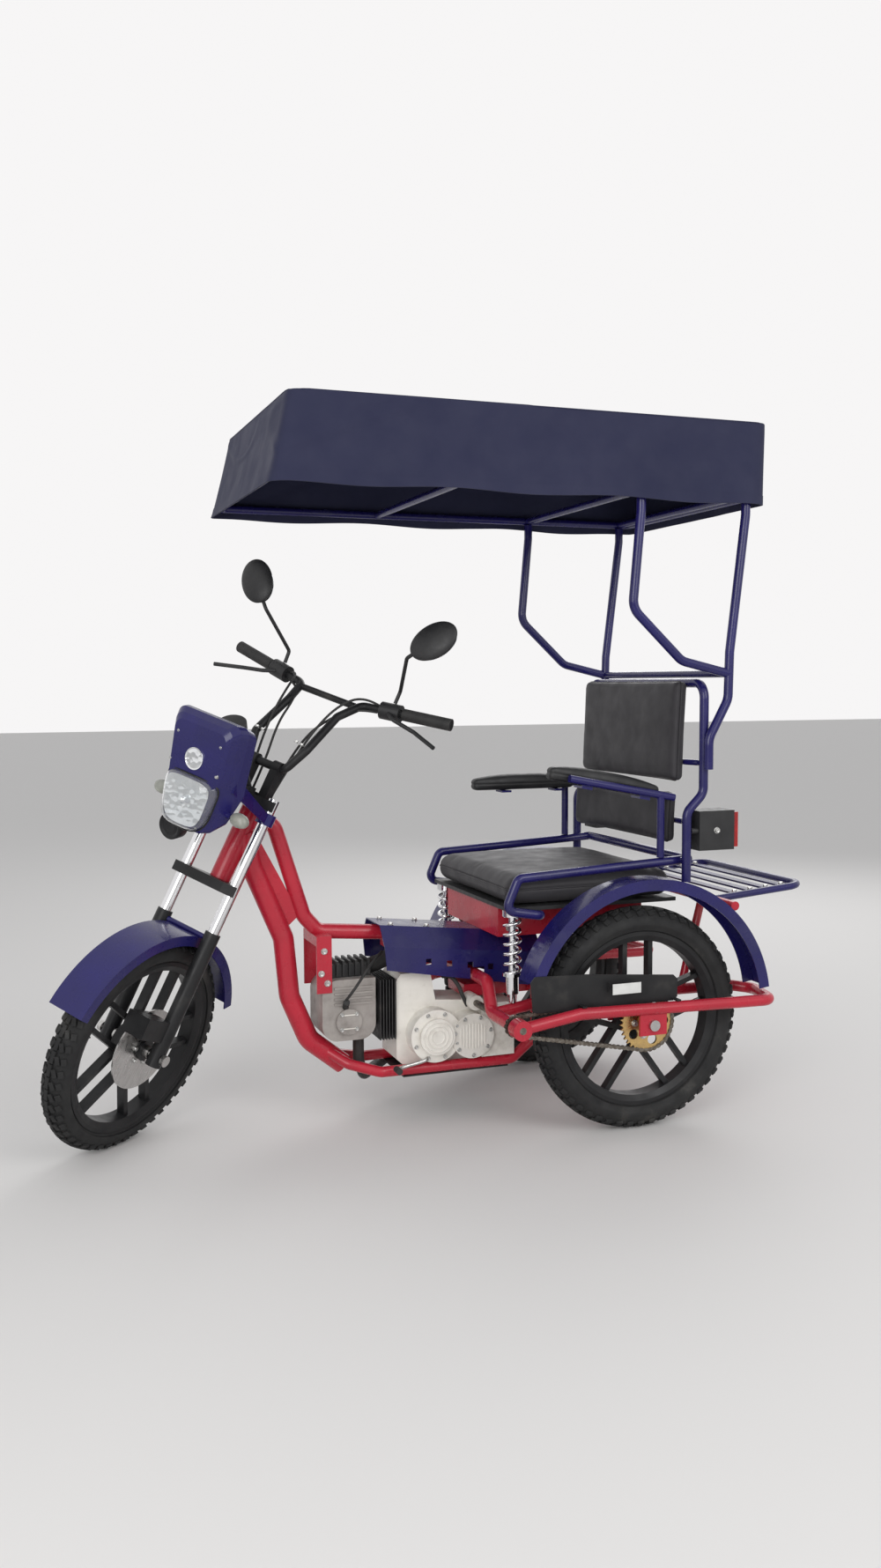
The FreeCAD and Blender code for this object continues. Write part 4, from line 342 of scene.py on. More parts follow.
# Bolts of the frame: zinc-plated hexagon bolts at the engine hangers, the cover on
# the spine, the seat box, the lamps' arms, the rack and the mudguards' legs.
zinc = finish("zinc_plate", (90, 5),
              ((0.3, (0.62, 0.62, 0.60)), (0.6, (0.50, 0.50, 0.49)), (0.9, (0.36, 0.33, 0.28))),
              (300, 3, 0.24, 0.42), ((900, 2), 0.12, 0.0004), metallic=1.0)

frame_bolts = []
for side in (-1, 1):
    for forward, height in ((757, 386), (773, 412), (765, 470)):
        frame_bolts.append((ahead(forward, 68 * side, height), (0, side, 0)))
    for forward in (240, 480, 580):
        # The spine's cover falls 103 mm in each metre from 527 mm at its front
        cover_top = 527 - (614 - forward) * 0.103
        frame_bolts.append((ahead(forward, 48 * side, cover_top), (-0.1, 0, 1)))
    for forward, height in ((-60, 520), (120, 545), (300, 520)):
        frame_bolts.append((ahead(forward, 185 * side, height), (0, side, 0)))
    frame_bolts.append((ahead(-230, 334 * side, 768), (0, side, 0)))
for forward in (-355, -405, -455, -505):
    # The rack's deck rises 24 mm over its length to the rear, 281.7 mm
    slat_top = 572 + 24 * (-274.3 - forward) / 281.7
    for side in (-1, 1):
        frame_bolts.append((ahead(forward, 226 * side, slat_top + 3), (0, 0, 1)))
handed_over(repeated(hex_bolt(0.012, 0.005), [facing(*row) for row in frame_bolts]),
            "frame_bolts", zinc, "chassis")

# Blue steelwork: the seat and backrest tubes, the armrests, the posts, the canopy's
# frame, the rack, the mudguards and the folded cover over the spine.
blue_enamel = enamel("blue_enamel", (0.015, 0.012, 0.118), (0.013, 0.011, 0.090),
                     (0.036, 0.036, 0.11), 0.24)
dress(blue_enamel, "seat_frame", "backrest_frame", "armrest_frames", "canopy_posts",
      "canopy_frame", "luggage_rack", "rear_mudguards", "front_mudguard", "spine_cover",
      "headlight_cowl")

# Black steelwork: the guard of the chain, the yokes, fork sliders, handlebar, caliper
# and skid plate, in satin black paint that goes grey where it is rubbed.
black_satin = finish("black_satin", (12, 7),
                     ((0.32, (0.012, 0.012, 0.013)), (0.6, (0.020, 0.020, 0.021)),
                      (0.85, (0.060, 0.057, 0.052))), (40, 5, 0.30, 0.5),
                     ((420, 2), 0.10, 0.0006), sockets={"Specular IOR Level": 0.25})
dress(black_satin, "chain_guard", "skid_plate", "steering_yokes", "fork_lowers", "handlebar",
      "brake_caliper")

# The exhaust: a bent black pipe from the head's floor to a silencer on the right,
# its heatproof paint baked matt and rusty at the bends.
baked = finish("baked_black", (10, 8, 0.65),
               ((0.30, (0.015, 0.014, 0.014)), (0.62, (0.035, 0.030, 0.027)),
                (0.80, (0.12, 0.058, 0.028))), (60, 4, 0.45, 0.75), ((260, 4), 0.25, 0.0006))
dress(baked, "exhaust")


def walled(piece, thickness):
    """Gives a skin its wall, inwards from its faces."""
    piece.modifiers.new("wall", "SOLIDIFY").thickness = thickness
    return piece


# The silencer's heat shield: zinc-plated sheet, curved round its outer side, with a
# row of slots along it to let the heat out.
silencer = ahead(150, -182, 172)
SLOT_PITCH = 0.052
shield = drawn(bpy.ops.mesh.primitive_cylinder_add, vertices=48, radius=0.0435, depth=0.236,
               end_fill_type="NOTHING", location=silencer, rotation=(0, math.pi / 2, 0))
fixed_in_place(shield)
bpy.ops.object.mode_set(mode="EDIT")
bpy.ops.mesh.select_all(action="SELECT")
bpy.ops.mesh.bisect(plane_co=silencer + Vector((0, -0.004, 0)), plane_no=(0, -1, 0.25),
                    clear_inner=True)
bpy.ops.mesh.select_all(action="SELECT")
bpy.ops.mesh.subdivide(number_cuts=8)
bpy.ops.object.mode_set(mode="OBJECT")


def in_a_slot(face):
    """Whether a face of the shield lies in one of its slots."""
    off = face.center - silencer
    across_slot = abs((off.x + 0.2) % SLOT_PITCH - SLOT_PITCH / 2)
    return across_slot < 0.010 and abs(off.z) < 0.020 and abs(off.x) < 0.1


picked(shield, in_a_slot)
bpy.ops.mesh.delete(type="FACE")
bpy.ops.object.mode_set(mode="OBJECT")
handed_over(walled(shield, 0.0012), "heat_shield", zinc, "chassis")

# Turned and drawn steel: axles, the jackshaft, brake disc and chain, brushed round
# their axes, with oil on the chain.
turned_steel = finish("turned_steel", (30, 5, 0.5, (1, 14, 1)),
                      ((0.3, (0.58, 0.57, 0.56)), (0.7, (0.44, 0.43, 0.42))),
                      (70, 4, 0.22, 0.42), ((120, 2, 0.5, (1, 10, 1)), 0.10, 0.0004), metallic=1.0)
dress(turned_steel, "rear_axles", "front_axle", "front_brake_disc")
oiled_steel = finish("oiled_steel", (120, 5),
                     ((0.3, (0.26, 0.24, 0.21)), (0.55, (0.14, 0.12, 0.10)),
                      (0.8, (0.05, 0.04, 0.035))), (200, 3, 0.25, 0.55),
                     ((700, 2), 0.15, 0.0004), metallic=0.9)
dress(oiled_steel, "drive_chain", "jackshaft")

# The rear sprocket: gold-coloured plate over steel. Five bolts hold it to its
# carrier and turn with the left rear wheel.
gold_plate = finish("gold_plate", (60, 5),
                    ((0.3, (0.66, 0.45, 0.18)), (0.6, (0.55, 0.38, 0.17)),
                     (0.85, (0.28, 0.19, 0.10))), (240, 3, 0.22, 0.45),
                    ((500, 2), 0.08, 0.0004), metallic=1.0)
dress(gold_plate, "rear_sprocket")
handed_over(repeated(hex_bolt(0.012, 0.006), circle_of(5, 0.036, ahead(0, 382, 290))),
            "sprocket_bolts", zinc, "left_rear_wheel_set")

# Chrome: the fork's ground stanchions and the wound seat springs, plated hard and
# clean with fine wipe marks.
chrome = finish("hard_chrome", (18, 4), ((0.3, (0.80, 0.80, 0.81)), (0.8, (0.70, 0.70, 0.72))),
                (50, 5, 0.05, 0.16), ((800, 2), 0.02, 0.0003), metallic=1.0)
dress(chrome, "fork_stanchions", "seat_springs")

# Moulded plastic and rubber: the lamp cases, switches, mirrors, seat board, dial and
# grips, with a fine moulded grain.
plastic = finish("moulded_plastic", (16, 5),
                 ((0.3, (0.014, 0.014, 0.015)), (0.75, (0.028, 0.028, 0.029))),
                 (60, 4, 0.38, 0.55), ((1400, 2), 0.30, 0.0004),
                 sockets={"Specular IOR Level": 0.38})
dress(plastic, "tail_lamps", "controls", "mirrors", "seat_board", "instrument")
soft_rubber = finish("soft_rubber", (30, 5),
                     ((0.3, (0.013, 0.013, 0.013)), (0.8, (0.035, 0.034, 0.033))),
                     0.7, ((900, 3), 0.35, 0.0006))
dress(soft_rubber, "grips")

# Engine castings: bead-blasted light alloy with oil in its pores, the head greyer with
# heat and dust, and black painted fins on the barrel.
blasted, waves = ((700, 3), 0.35, 0.0006), ((60, 4), 0.15, 0.002)
cast_alloy = finish("cast_alloy", (16, 8, 0.6),
                    ((0.25, (0.88, 0.85, 0.79)), (0.55, (0.79, 0.76, 0.70)),
                     (0.88, (0.42, 0.38, 0.32))), (50, 5, 0.38, 0.6), blasted, waves)
dress(cast_alloy, "crankcase")
warm_alloy = finish("warm_alloy", (18, 8, 0.62),
                    ((0.25, (0.44, 0.41, 0.38)), (0.55, (0.34, 0.31, 0.29)),
                     (0.85, (0.15, 0.135, 0.12))), (50, 5, 0.40, 0.62), blasted, waves,
                    metallic=0.3)
dress(warm_alloy, "cylinder_head")
black_casting = finish("black_casting", (24, 7),
                       ((0.3, (0.014, 0.014, 0.015)), (0.6, (0.028, 0.028, 0.028)),
                        (0.85, (0.09, 0.08, 0.07))), (90, 4, 0.4, 0.62),
                       ((600, 3), 0.35, 0.0006), metallic=0.2)
dress(black_casting, "cylinder", "carburettor")


# Lenses: the red tail lenses, the pale indicators and the clear form of the headlight,
# moulded in acrylic with fine ribs across the inside.
def lens_ribs(tree, where):
    """Fine level ribs, one above another."""
    ribs = tree.nodes.new("ShaderNodeTexWave")
    ribs.bands_direction = "Z"
    ribs.inputs["Scale"].default_value = 110
    ribs.inputs["Distortion"].default_value = 0.2
    tree.links.new(where, ribs.inputs["Vector"])
    return ribs.outputs["Fac"]


for name, node, colour, deep, clear in (
    ("red_lens", "tail_lenses", (0.55, 0.012, 0.012), (0.35, 0.008, 0.010), 0.25),
    ("pale_lens", "indicators", (0.46, 0.47, 0.42), (0.34, 0.35, 0.30), 0.35),
    ("clear_lens", "headlight_lens", (0.90, 0.92, 0.93), (0.82, 0.85, 0.87), 0.85),
):
    dress(finish(name, (40, 3), ((0.3, colour), (0.75, deep)), 0.08, (lens_ribs, 0.25, 0.0012),
                 sockets={"Transmission Weight": clear, "IOR": 1.49}), node)

# Tyres: black road tyres on the three cast wheels, with a centre rib, slanted blocks
# and shoulder blocks, and a ring moulded on each sidewall.
STEERING_FOOT = Vector((0.76341, 0.0, 0.25465))
RAKE, LEFT_STOP = math.radians(26), math.radians(43)
fork = (Matrix.Translation(STEERING_FOOT) @ Matrix.Rotation(-RAKE, 4, "Y")
        @ Matrix.Rotation(LEFT_STOP, 4, "Z"))
tyre_rubber = finish("tyre_rubber", (9, 8, 0.65),
                     ((0.3, (0.014, 0.014, 0.015)), (0.58, (0.024, 0.024, 0.024)),
                      (0.85, (0.085, 0.080, 0.072))), (30, 5, 0.55, 0.85),
                     ((500, 4), 0.35, 0.0008), sockets={"Specular IOR Level": 0.28})
TREAD_PITCH, BLOCK_HEIGHT = 0.0335, 0.0068


def road_tyre(name, node, body, place, outer, width):
    """A tyre about the Y axis, spun from its section, with its tread blocks."""
    half = width / 2
    # From the bead out to the crown, each a radius and a distance to the side
    section = (
        (0.217, -0.0247), (0.2285, -0.0260), (0.231, -half * 0.80), (0.235, -half * 0.835),
        (outer - 0.046, -half * 0.985), (outer - 0.043, -half * 1.005), (outer - 0.036, -half),
        (outer - 0.0255, -half * 0.90), (outer - 0.0140, -half * 0.66),
        (outer - 0.0085, -half * 0.38), (outer - 0.0062, -half * 0.12),
    )
    section = section + tuple((radius, -across) for radius, across in reversed(section))
    carcass = drawn(bpy.ops.mesh.primitive_circle_add, vertices=len(section), radius=0.01)
    for vertex, (radius, across) in zip(carcass.data.vertices, section):
        vertex.co = (0, across, radius)
    bpy.ops.object.mode_set(mode="EDIT")
    bpy.ops.mesh.select_all(action="SELECT")
    bpy.ops.mesh.spin(steps=96, angle=2 * math.pi, center=(0, 0, 0), axis=(0, 1, 0))
    bpy.ops.object.mode_set(mode="OBJECT")
    closed_up(carcass)

    # One pitch of the tread: a centre rib, two slanted blocks and two shoulder blocks
    blocks = []
    for across, drop, length, thick, slant, lean in (
        (0.0, 0.0034, 0.030, 0.011, 0.0, 0), (0.38, 0.0058, 0.021, 0.0105, 0.45, 17),
        (-0.38, 0.0058, 0.021, 0.0105, -0.45, -17), (0.73, 0.0150, 0.017, 0.013, 0.3, 44),
        (-0.73, 0.0150, 0.017, 0.013, -0.3, -44),
    ):
        block = drawn(bpy.ops.mesh.primitive_cube_add, size=1)
        block.scale = (length, thick * 1.05, BLOCK_HEIGHT)
        bpy.ops.object.transform_apply(location=False, rotation=False, scale=True)
        bpy.ops.object.mode_set(mode="EDIT")
        bpy.ops.mesh.select_all(action="SELECT")
        bpy.ops.mesh.bevel(offset=0.0009, segments=1)
        bpy.ops.object.mode_set(mode="OBJECT")
        stagger = 0.004 if across else 0
        block.data.transform(Matrix.Translation((stagger, across * half, outer - drop))
                             @ Matrix.Rotation(math.radians(-lean), 4, "X")
                             @ Matrix.Rotation(slant, 4, "Z"))
        blocks.append(block)
    tread = joined(blocks)
    count = round(2 * math.pi * outer / TREAD_PITCH)
    tread = repeated(tread, [Matrix.Rotation(2 * math.pi * number / count, 4, "Y")
                             for number in range(count)])
    joined([carcass, tread])
    carcass.data.transform(place)
    handed_over(carcass, name, tyre_rubber, body, 28)
    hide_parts(node)


HALF_TRACK, HUB_HEIGHT = 318, 290
AXLE_OFFSET = 0.044
front_hub = fork @ Matrix.Translation((AXLE_OFFSET, 0, 0))
left_hub = Matrix.Translation(ahead(0, HALF_TRACK, HUB_HEIGHT))
right_hub = Matrix.Translation(ahead(0, -HALF_TRACK, HUB_HEIGHT))
road_tyre("front_road_tyre", "front_tyre", "front_wheel_set", front_hub, 0.280, 0.070)
road_tyre("left_road_tyre", "left_rear_tyre", "left_rear_wheel_set", left_hub, 0.290, 0.080)
road_tyre("right_road_tyre", "right_rear_tyre", "right_rear_wheel_set", right_hub, 0.290, 0.080)

# Cast wheels: satin black light alloy. Each has a rubber tyre valve in its rim, and
# the front one has the brake disc bolted round its hub.
dress(black_satin, "front_wheel", "left_rear_wheel", "right_rear_wheel")
for name, body, place in (("front_valve", "front_wheel_set", front_hub),
                          ("left_valve", "left_rear_wheel_set", left_hub),
                          ("right_valve", "right_rear_wheel_set", right_hub)):
    stem = drawn(bpy.ops.mesh.primitive_cylinder_add, vertices=16, radius=0.0042, depth=0.026,
                 location=(0.199, 0, 0), rotation=(0, math.pi / 2, 0))
    fixed_in_place(stem)
    picked(stem, lambda face: face.normal.x < -0.9)
    for inset, reach in ((0.0012, 0.009), (0.0006, 0.004)):
        bpy.ops.mesh.inset(thickness=inset)
        bpy.ops.mesh.extrude_region_move(TRANSFORM_OT_translate={"value": (-reach, 0, 0)})
    bpy.ops.object.mode_set(mode="OBJECT")
    fixed_in_place(bevelled(stem, 0.0004, 1))
    stem.data.transform(place)
    handed_over(stem, name, soft_rubber, body)
disc_bolts = [front_hub @ place for place in circle_of(6, 0.036, (0, 0.0363, 0))]
handed_over(repeated(hex_bolt(0.010, 0.005), disc_bolts), "disc_bolts", zinc,
            "front_wheel_set")

# The seat and the two back pads: foam blocks pulled into sewn charcoal vinyl, with a
# piped seam round each, screwed to the seat frame from behind.
def pores(tree, where):
    """The cells of a pressed leather grain."""
    cells = tree.nodes.new("ShaderNodeTexVoronoi")
    cells.feature = "DISTANCE_TO_EDGE"
    cells.inputs["Scale"].default_value = 420
    tree.links.new(where, cells.inputs["Vector"])
    return cells.outputs["Distance"]


vinyl = finish("charcoal_vinyl", (6, 7, 0.6),
               ((0.3, (0.034, 0.032, 0.036)), (0.6, (0.044, 0.042, 0.046)),
                (0.85, (0.060, 0.057, 0.060))), (22, 5, 0.40, 0.58), (pores, 0.30, 0.0008),
               ((60, 5), 0.12, 0.0020), ((9, 3), 0.20, 0.006),
               sockets={"Sheen Weight": 0.04, "Specular IOR Level": 0.24})


def smoother(piece):
    """Rounds a skin once more."""
    finer = piece.modifiers.new("finer", "SUBSURF")
    finer.levels = finer.render_levels = 1
    fixed_in_place(piece)


def thinned(spots, gap):
    """Leaves out the points that lie within a gap of the one kept before."""
    kept = [spots[0]]
    for spot in spots[1:]:
        if (spot - kept[-1]).length > gap:
            kept.append(spot)
    return kept


def round_run(name, spots, radius, kind="NURBS", closed=False, fineness=4):
    """A cord, pipe or hose of one thickness along points, as a mesh."""
    path = bpy.data.curves.new(name, "CURVE")
    path.dimensions = "3D"
    path.bevel_depth = radius
    path.bevel_resolution = fineness
    path.resolution_u = 10
    path.use_fill_caps = not closed
    line = path.splines.new(kind)
    line.points.add(len(spots) - 1)
    for point, spot in zip(line.points, spots):
        point.co = (*spot, 1)
    line.order_u = 3
    line.use_endpoint_u = not closed
    line.use_cyclic_u = closed
    run = bpy.data.objects.new(name, path)
    bpy.context.collection.objects.link(run)
    alone(run)
    bpy.ops.object.convert(target="MESH")
    return bpy.context.object


def seam_loop(piece, level):
    """The points, in order, where a pad's skin crosses a level of its own height."""
    alone(piece)
    bpy.ops.object.duplicate()
    ring = bpy.context.object
    bpy.ops.object.mode_set(mode="EDIT")
    bpy.ops.mesh.select_all(action="SELECT")
    bpy.ops.mesh.bisect(plane_co=(0, 0, level), plane_no=(0, 0, 1))
    bpy.ops.object.mode_set(mode="OBJECT")
    spots = sorted((vertex.co.copy() for vertex in ring.data.vertices
                    if abs(vertex.co.z - level) < 0.00001),
                   key=lambda spot: math.atan2(spot.y, spot.x))
    bpy.data.objects.remove(ring)
    return thinned(spots, 0.006)


def stuffed(size, corner, rounds, cell, reach):
    """A foam block that its own pressure swells, no point further than a reach."""
    pad = drawn(bpy.ops.mesh.primitive_cube_add, size=1)
    pad.scale = size
    fixed_in_place(pad)
    bpy.ops.object.mode_set(mode="EDIT")
    bpy.ops.mesh.select_all(action="SELECT")
    bpy.ops.mesh.bevel(offset=corner, segments=rounds)
    bpy.ops.object.mode_set(mode="OBJECT")
    skin = pad.modifiers.new("skin", "REMESH")
    skin.mode = "VOXEL"
    skin.voxel_size = cell
    fixed_in_place(pad)
    rest = [vertex.co.copy() for vertex in pad.data.vertices]
    cloth = pad.modifiers.new("stuffing", "CLOTH")
    cloth.settings.use_pressure = True
    cloth.settings.uniform_pressure_force = 4
    cloth.settings.effector_weights.gravity = 0
    cloth.settings.quality = 4
    for number in range(1, 21):
        bpy.context.scene.frame_set(number)
    fixed_in_place(pad)
    bpy.context.scene.frame_set(1)
    for vertex, start in zip(pad.data.vertices, rest):
        move = vertex.co - start
        if move.length > reach:
            vertex.co = start + move.normalized() * reach
    return pad, min(start.z for start in rest)


def grooved(pad, level, half, depth, along=1.0):
    """Draws a pad's skin in to a seam all round it at a level."""
    for vertex in pad.data.vertices:
        gap = abs(vertex.co.z - level)
        if gap < half:
            flat = Vector((vertex.co.x * along, vertex.co.y, 0))
            vertex.co -= flat.normalized() * depth * (1 - gap / half) ** 1.5


def soft_pad(name, node, size, place, *, corner, swell, crown, seam):
    """A stuffed pad about its own middle, its top up, moved to its place when finished."""
    length, width, height = size
    pad, foot = stuffed((length - 2 * swell, width - 2 * swell, height - swell), corner, 5,
                        0.006, swell)
    for vertex in pad.data.vertices:
        vertex.co.z = max(vertex.co.z, foot)
        # The top crowns to its middle and the sides pull in between the corners
        along = min(1, abs(vertex.co.x) / (length / 2))
        across = min(1, abs(vertex.co.y) / (width / 2))
        rise = max(0, (vertex.co.z - foot) / height)
        vertex.co.z += crown * rise * (1 - along ** 2.4) * (1 - across ** 2.4)
        vertex.co.x *= 1 - 0.010 * (1 - across ** 2) * (1 - rise)
        vertex.co.y *= 1 - 0.010 * (1 - along ** 2) * (1 - rise)
        spot = Vector((vertex.co.x * 11, vertex.co.y * 11, vertex.co.z * 5 + length * 9))
        vertex.co.z += 0.0016 * noise.noise(spot) * rise
    smoother(pad)

    # The seam: a groove all round at its level, with a piping cord sewn in it
    level = foot + height * seam
    piping = round_run(name + "_piping", seam_loop(pad, level), 0.0021, "POLY", True, 2)
    grooved(pad, level, 0.007, 0.0022)
    for piece in (pad, piping):
        piece.data.transform(place)
    handed_over(piping, name + "_piping", vinyl, "chassis", 60)
    handed_over(pad, name, vinyl, "chassis", 60)
    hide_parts(node)


soft_pad("sewn_seat_cushion", "seat_cushion", (0.494, 0.550, 0.074),
         Matrix.Translation(ahead(98, 0, 626)), corner=0.030, swell=0.006, crown=0.007,
         seam=0.52)

# Each back pad leans back with its frame, its face to the front
RECLINE = math.radians(2.5)
recline = (Matrix.Rotation(math.radians(90) - RECLINE, 4, "Y")
           @ Matrix.Rotation(math.radians(180), 4, "Z"))
for name, node in (("sewn_upper_back_pad", "backrest_pad_upper"),
                   ("sewn_lower_back_pad", "backrest_pad_lower")):
    low, high = (Vector(corner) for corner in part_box(node))
    tall = (high.z - low.z - 0.042 * math.sin(RECLINE)) / math.cos(RECLINE)
    soft_pad(name, node, (tall - 0.002, 0.554, 0.040),
             Matrix.Translation((low + high) / 2) @ recline, corner=0.014, swell=0.004,
             crown=0.004, seam=0.5)

# The arm pads: long soft pads whose ends taper, screwed on the two folding arms. The
# left one stands a little raised, as it is in the photograph.
ARM_REACH, ARM_FOOT, ARM_SEAM = 0.159, -0.0222, -0.004
for side, name, tilt in ((1, "sewn_left_arm_pad", 10.8), (-1, "sewn_right_arm_pad", 0)):
    lean = math.radians(tilt)
    pivot = ahead(-127, 253 * side, 855)
    start = pivot + Matrix.Rotation(-lean, 3, "Y") @ Vector((0.031, 0, 0.011))
    pad, _ = stuffed((0.321, 0.045, 0.0435), 0.012, 4, 0.004, 0.0025)
    for vertex in pad.data.vertices:
        # A low arch along the top, with both ends drawn down and in
        along = min(1, abs(vertex.co.x) / ARM_REACH)
        rise = (vertex.co.z + 0.022) / 0.044
        vertex.co.z -= 0.011 * rise * along ** 2.4
        vertex.co.y *= 1 - 0.20 * along ** 3
        vertex.co.z = max(vertex.co.z, ARM_FOOT)
    smoother(pad)
    grooved(pad, ARM_SEAM, 0.005, 0.0016, 0.1)
    pad.data.transform(Matrix.Translation(start) @ Matrix.Rotation(-lean, 4, "Y")
                       @ Matrix.Translation((0.163, 0, 0)))
    handed_over(pad, name, plastic, "chassis", 60)
    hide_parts("armrest_pads")

# The canopy: one taut cover of dark navy coated cloth, sewn at its corners, hemmed
# round its foot and pulled down over the blue frame. The place on its front is bare.
threads = [((160, 2, 0.5, stretch), strength, 0.0006)
           for stretch, strength in (((1, 1, 9), 0.18), ((9, 1, 1), 0.18), ((1, 9, 1), 0.14))]
canopy_cloth = finish("canopy_cloth", (3.2, 7, 0.6),
                      ((0.3, (0.022, 0.024, 0.056)), (0.6, (0.027, 0.029, 0.064)),
                       (0.85, (0.036, 0.038, 0.076))), (14, 5, 0.62, 0.82), *threads,
                      ((5, 4), 0.30, 0.012),
                      sockets={"Sheen Weight": 0.05, "Sheen Roughness": 0.5,
                               "Specular IOR Level": 0.18})

# One sheet over a box that draws in upwards: its foot's and its top's ends and half
# width, in metres from the rear axle and the centre line
FOOT_REAR, FOOT_FRONT, FOOT_HALF, FOOT_LEVEL = -0.346, 0.960, 0.372, 1.612
TOP_REAR, TOP_FRONT, TOP_HALF, TOP_LEVEL = -0.361, 0.909, 0.354, 1.824
CORNER, CUTS, EDGE = 0.030, 40, 0.999
cover = drawn(bpy.ops.mesh.primitive_cube_add, size=2)
picked(cover, lambda face: face.normal.z < -0.5)
bpy.ops.mesh.delete(type="FACE")
bpy.ops.mesh.select_all(action="SELECT")
bpy.ops.mesh.subdivide(number_cuts=CUTS)
bpy.ops.object.mode_set(mode="OBJECT")
for vertex in cover.data.vertices:
    along, across, up = vertex.co
    share = (up + 1) / 2
    on_side, on_end, on_top = abs(across) > EDGE, abs(along) > EDGE, share > EDGE
    rear = FOOT_REAR + (TOP_REAR - FOOT_REAR) * share
    front = FOOT_FRONT + (TOP_FRONT - FOOT_FRONT) * share
    half = FOOT_HALF + (TOP_HALF - FOOT_HALF) * share
    height = FOOT_LEVEL + (TOP_LEVEL - FOOT_LEVEL) * share
    middle_x, reach_x = (front + rear) / 2, (front - rear) / 2
    off_x, off_y = reach_x * along, half * across
    # The corners are rounded
    inner_x = max(-reach_x + CORNER, min(reach_x - CORNER, off_x))
    inner_y = max(-half + CORNER, min(half - CORNER, off_y))
    bend = Vector((off_x - inner_x, off_y - inner_y))
    if bend.length > 0:
        bend = bend.normalized() * max(abs(bend.x), abs(bend.y))
    off_x, off_y = inner_x + bend.x, inner_y + bend.y
    # The taut walls draw in a little between the frame and the top
    pull = 0.0055 * math.sin(math.pi * share) * (1 - 0.4 * share)
    if on_side and not (on_end or on_top):
        off_y -= math.copysign(pull * (1 - along ** 6), across)
    if on_end and not (on_side or on_top):
        off_x -= math.copysign(pull * (1 - across ** 4), along)
    wave = 3 * math.pi * (along + 1)
    if on_top:
        # The top hangs a little between the stays below it
        sag = (1 - along ** 2) * (1 - across ** 2)
        height -= 0.005 * sag + 0.003 * sag * (1 - math.cos(wave))
    else:
        # The hem runs in shallow waves between the ties to the frame
        height += 0.004 * (1 - share) ** 4 * math.cos(wave) * (1 - along ** 8)
    spot = Vector((REAR_AXLE + middle_x + off_x, off_y, height))
    # Soft creases, and a few sharper folds that die out at the edges
    crease = noise.noise(Vector((spot.x * 4.2 + spot.z * 3.5, spot.y * 4.2, spot.z * 2.0)))
    fold = abs(noise.noise(Vector((spot.x * 2.1 + spot.z * 5.0 + 4.0, spot.y * 2.6,
                                   spot.z * 1.5))))
    if on_top:
        edge_free = (1 - along ** 8) * (1 - across ** 8)
    else:
        edge_free = 1 - max(0, 1 - (1 - share) / 0.12)
    depth = (0.0018 * crease - 0.0045 * max(0, 0.10 - fold) / 0.10) * edge_free
    if on_top:
        spot.z += depth
    elif on_side:
        spot.y += math.copysign(depth, across)
    elif on_end:
        spot.x += math.copysign(depth, along)
    vertex.co = spot
smoother(cover)
closed_up(cover)

# The hem: the cloth's foot is turned up and sewn down in a band, and a thin cord of
# the same cloth is piped into the seam round the top.
HEM_TOP, RIM_LEVEL = 1.636, 1.8205
alone(cover)
bpy.ops.object.duplicate()
hem = bpy.context.object
bpy.ops.object.mode_set(mode="EDIT")
bpy.ops.mesh.select_all(action="SELECT")
bpy.ops.mesh.bisect(plane_co=(0, 0, HEM_TOP), plane_no=(0, 0, 1), clear_outer=True)
bpy.ops.mesh.select_all(action="SELECT")
bpy.ops.transform.shrink_fatten(value=0.0009)
bpy.ops.object.mode_set(mode="OBJECT")
handed_over(walled(hem, 0.0012), "canopy_hem", canopy_cloth, "chassis", 50)

rim = sorted((vertex.co.copy() for vertex in cover.data.vertices
              if vertex.co.z > RIM_LEVEL and (abs(vertex.co.y) > 0.3505
                                           or not -0.8130 < vertex.co.x < 0.4505)),
             key=lambda spot: math.atan2(spot.y, spot.x + 0.181))
rim = [Vector((spot.x, spot.y, min(spot.z, 1.8225))) for spot in thinned(rim, 0.009)]
canopy_piping = handed_over(round_run("canopy_piping", rim, 0.0018, "POLY", True, 2),
                            "canopy_piping", canopy_cloth, "chassis", 60)

handed_over(walled(cover, 0.0022), "canopy_sheet", canopy_cloth, "chassis", 50)
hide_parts("canopy_cover")


# The nose: a blue moulded cowl on the fork, a bulging clear lens over a silvered
# bowl and its bulb, a bare round badge, screws, and a black pressed horn below.
def upright(forward, across, height):
    """A point in millimetres ahead of and above the steering foot, turned by the fork."""
    return fork @ Matrix.Rotation(RAKE, 4, "Y") @ Vector((forward / 1000, across / 1000,
                                                         height / 1000))


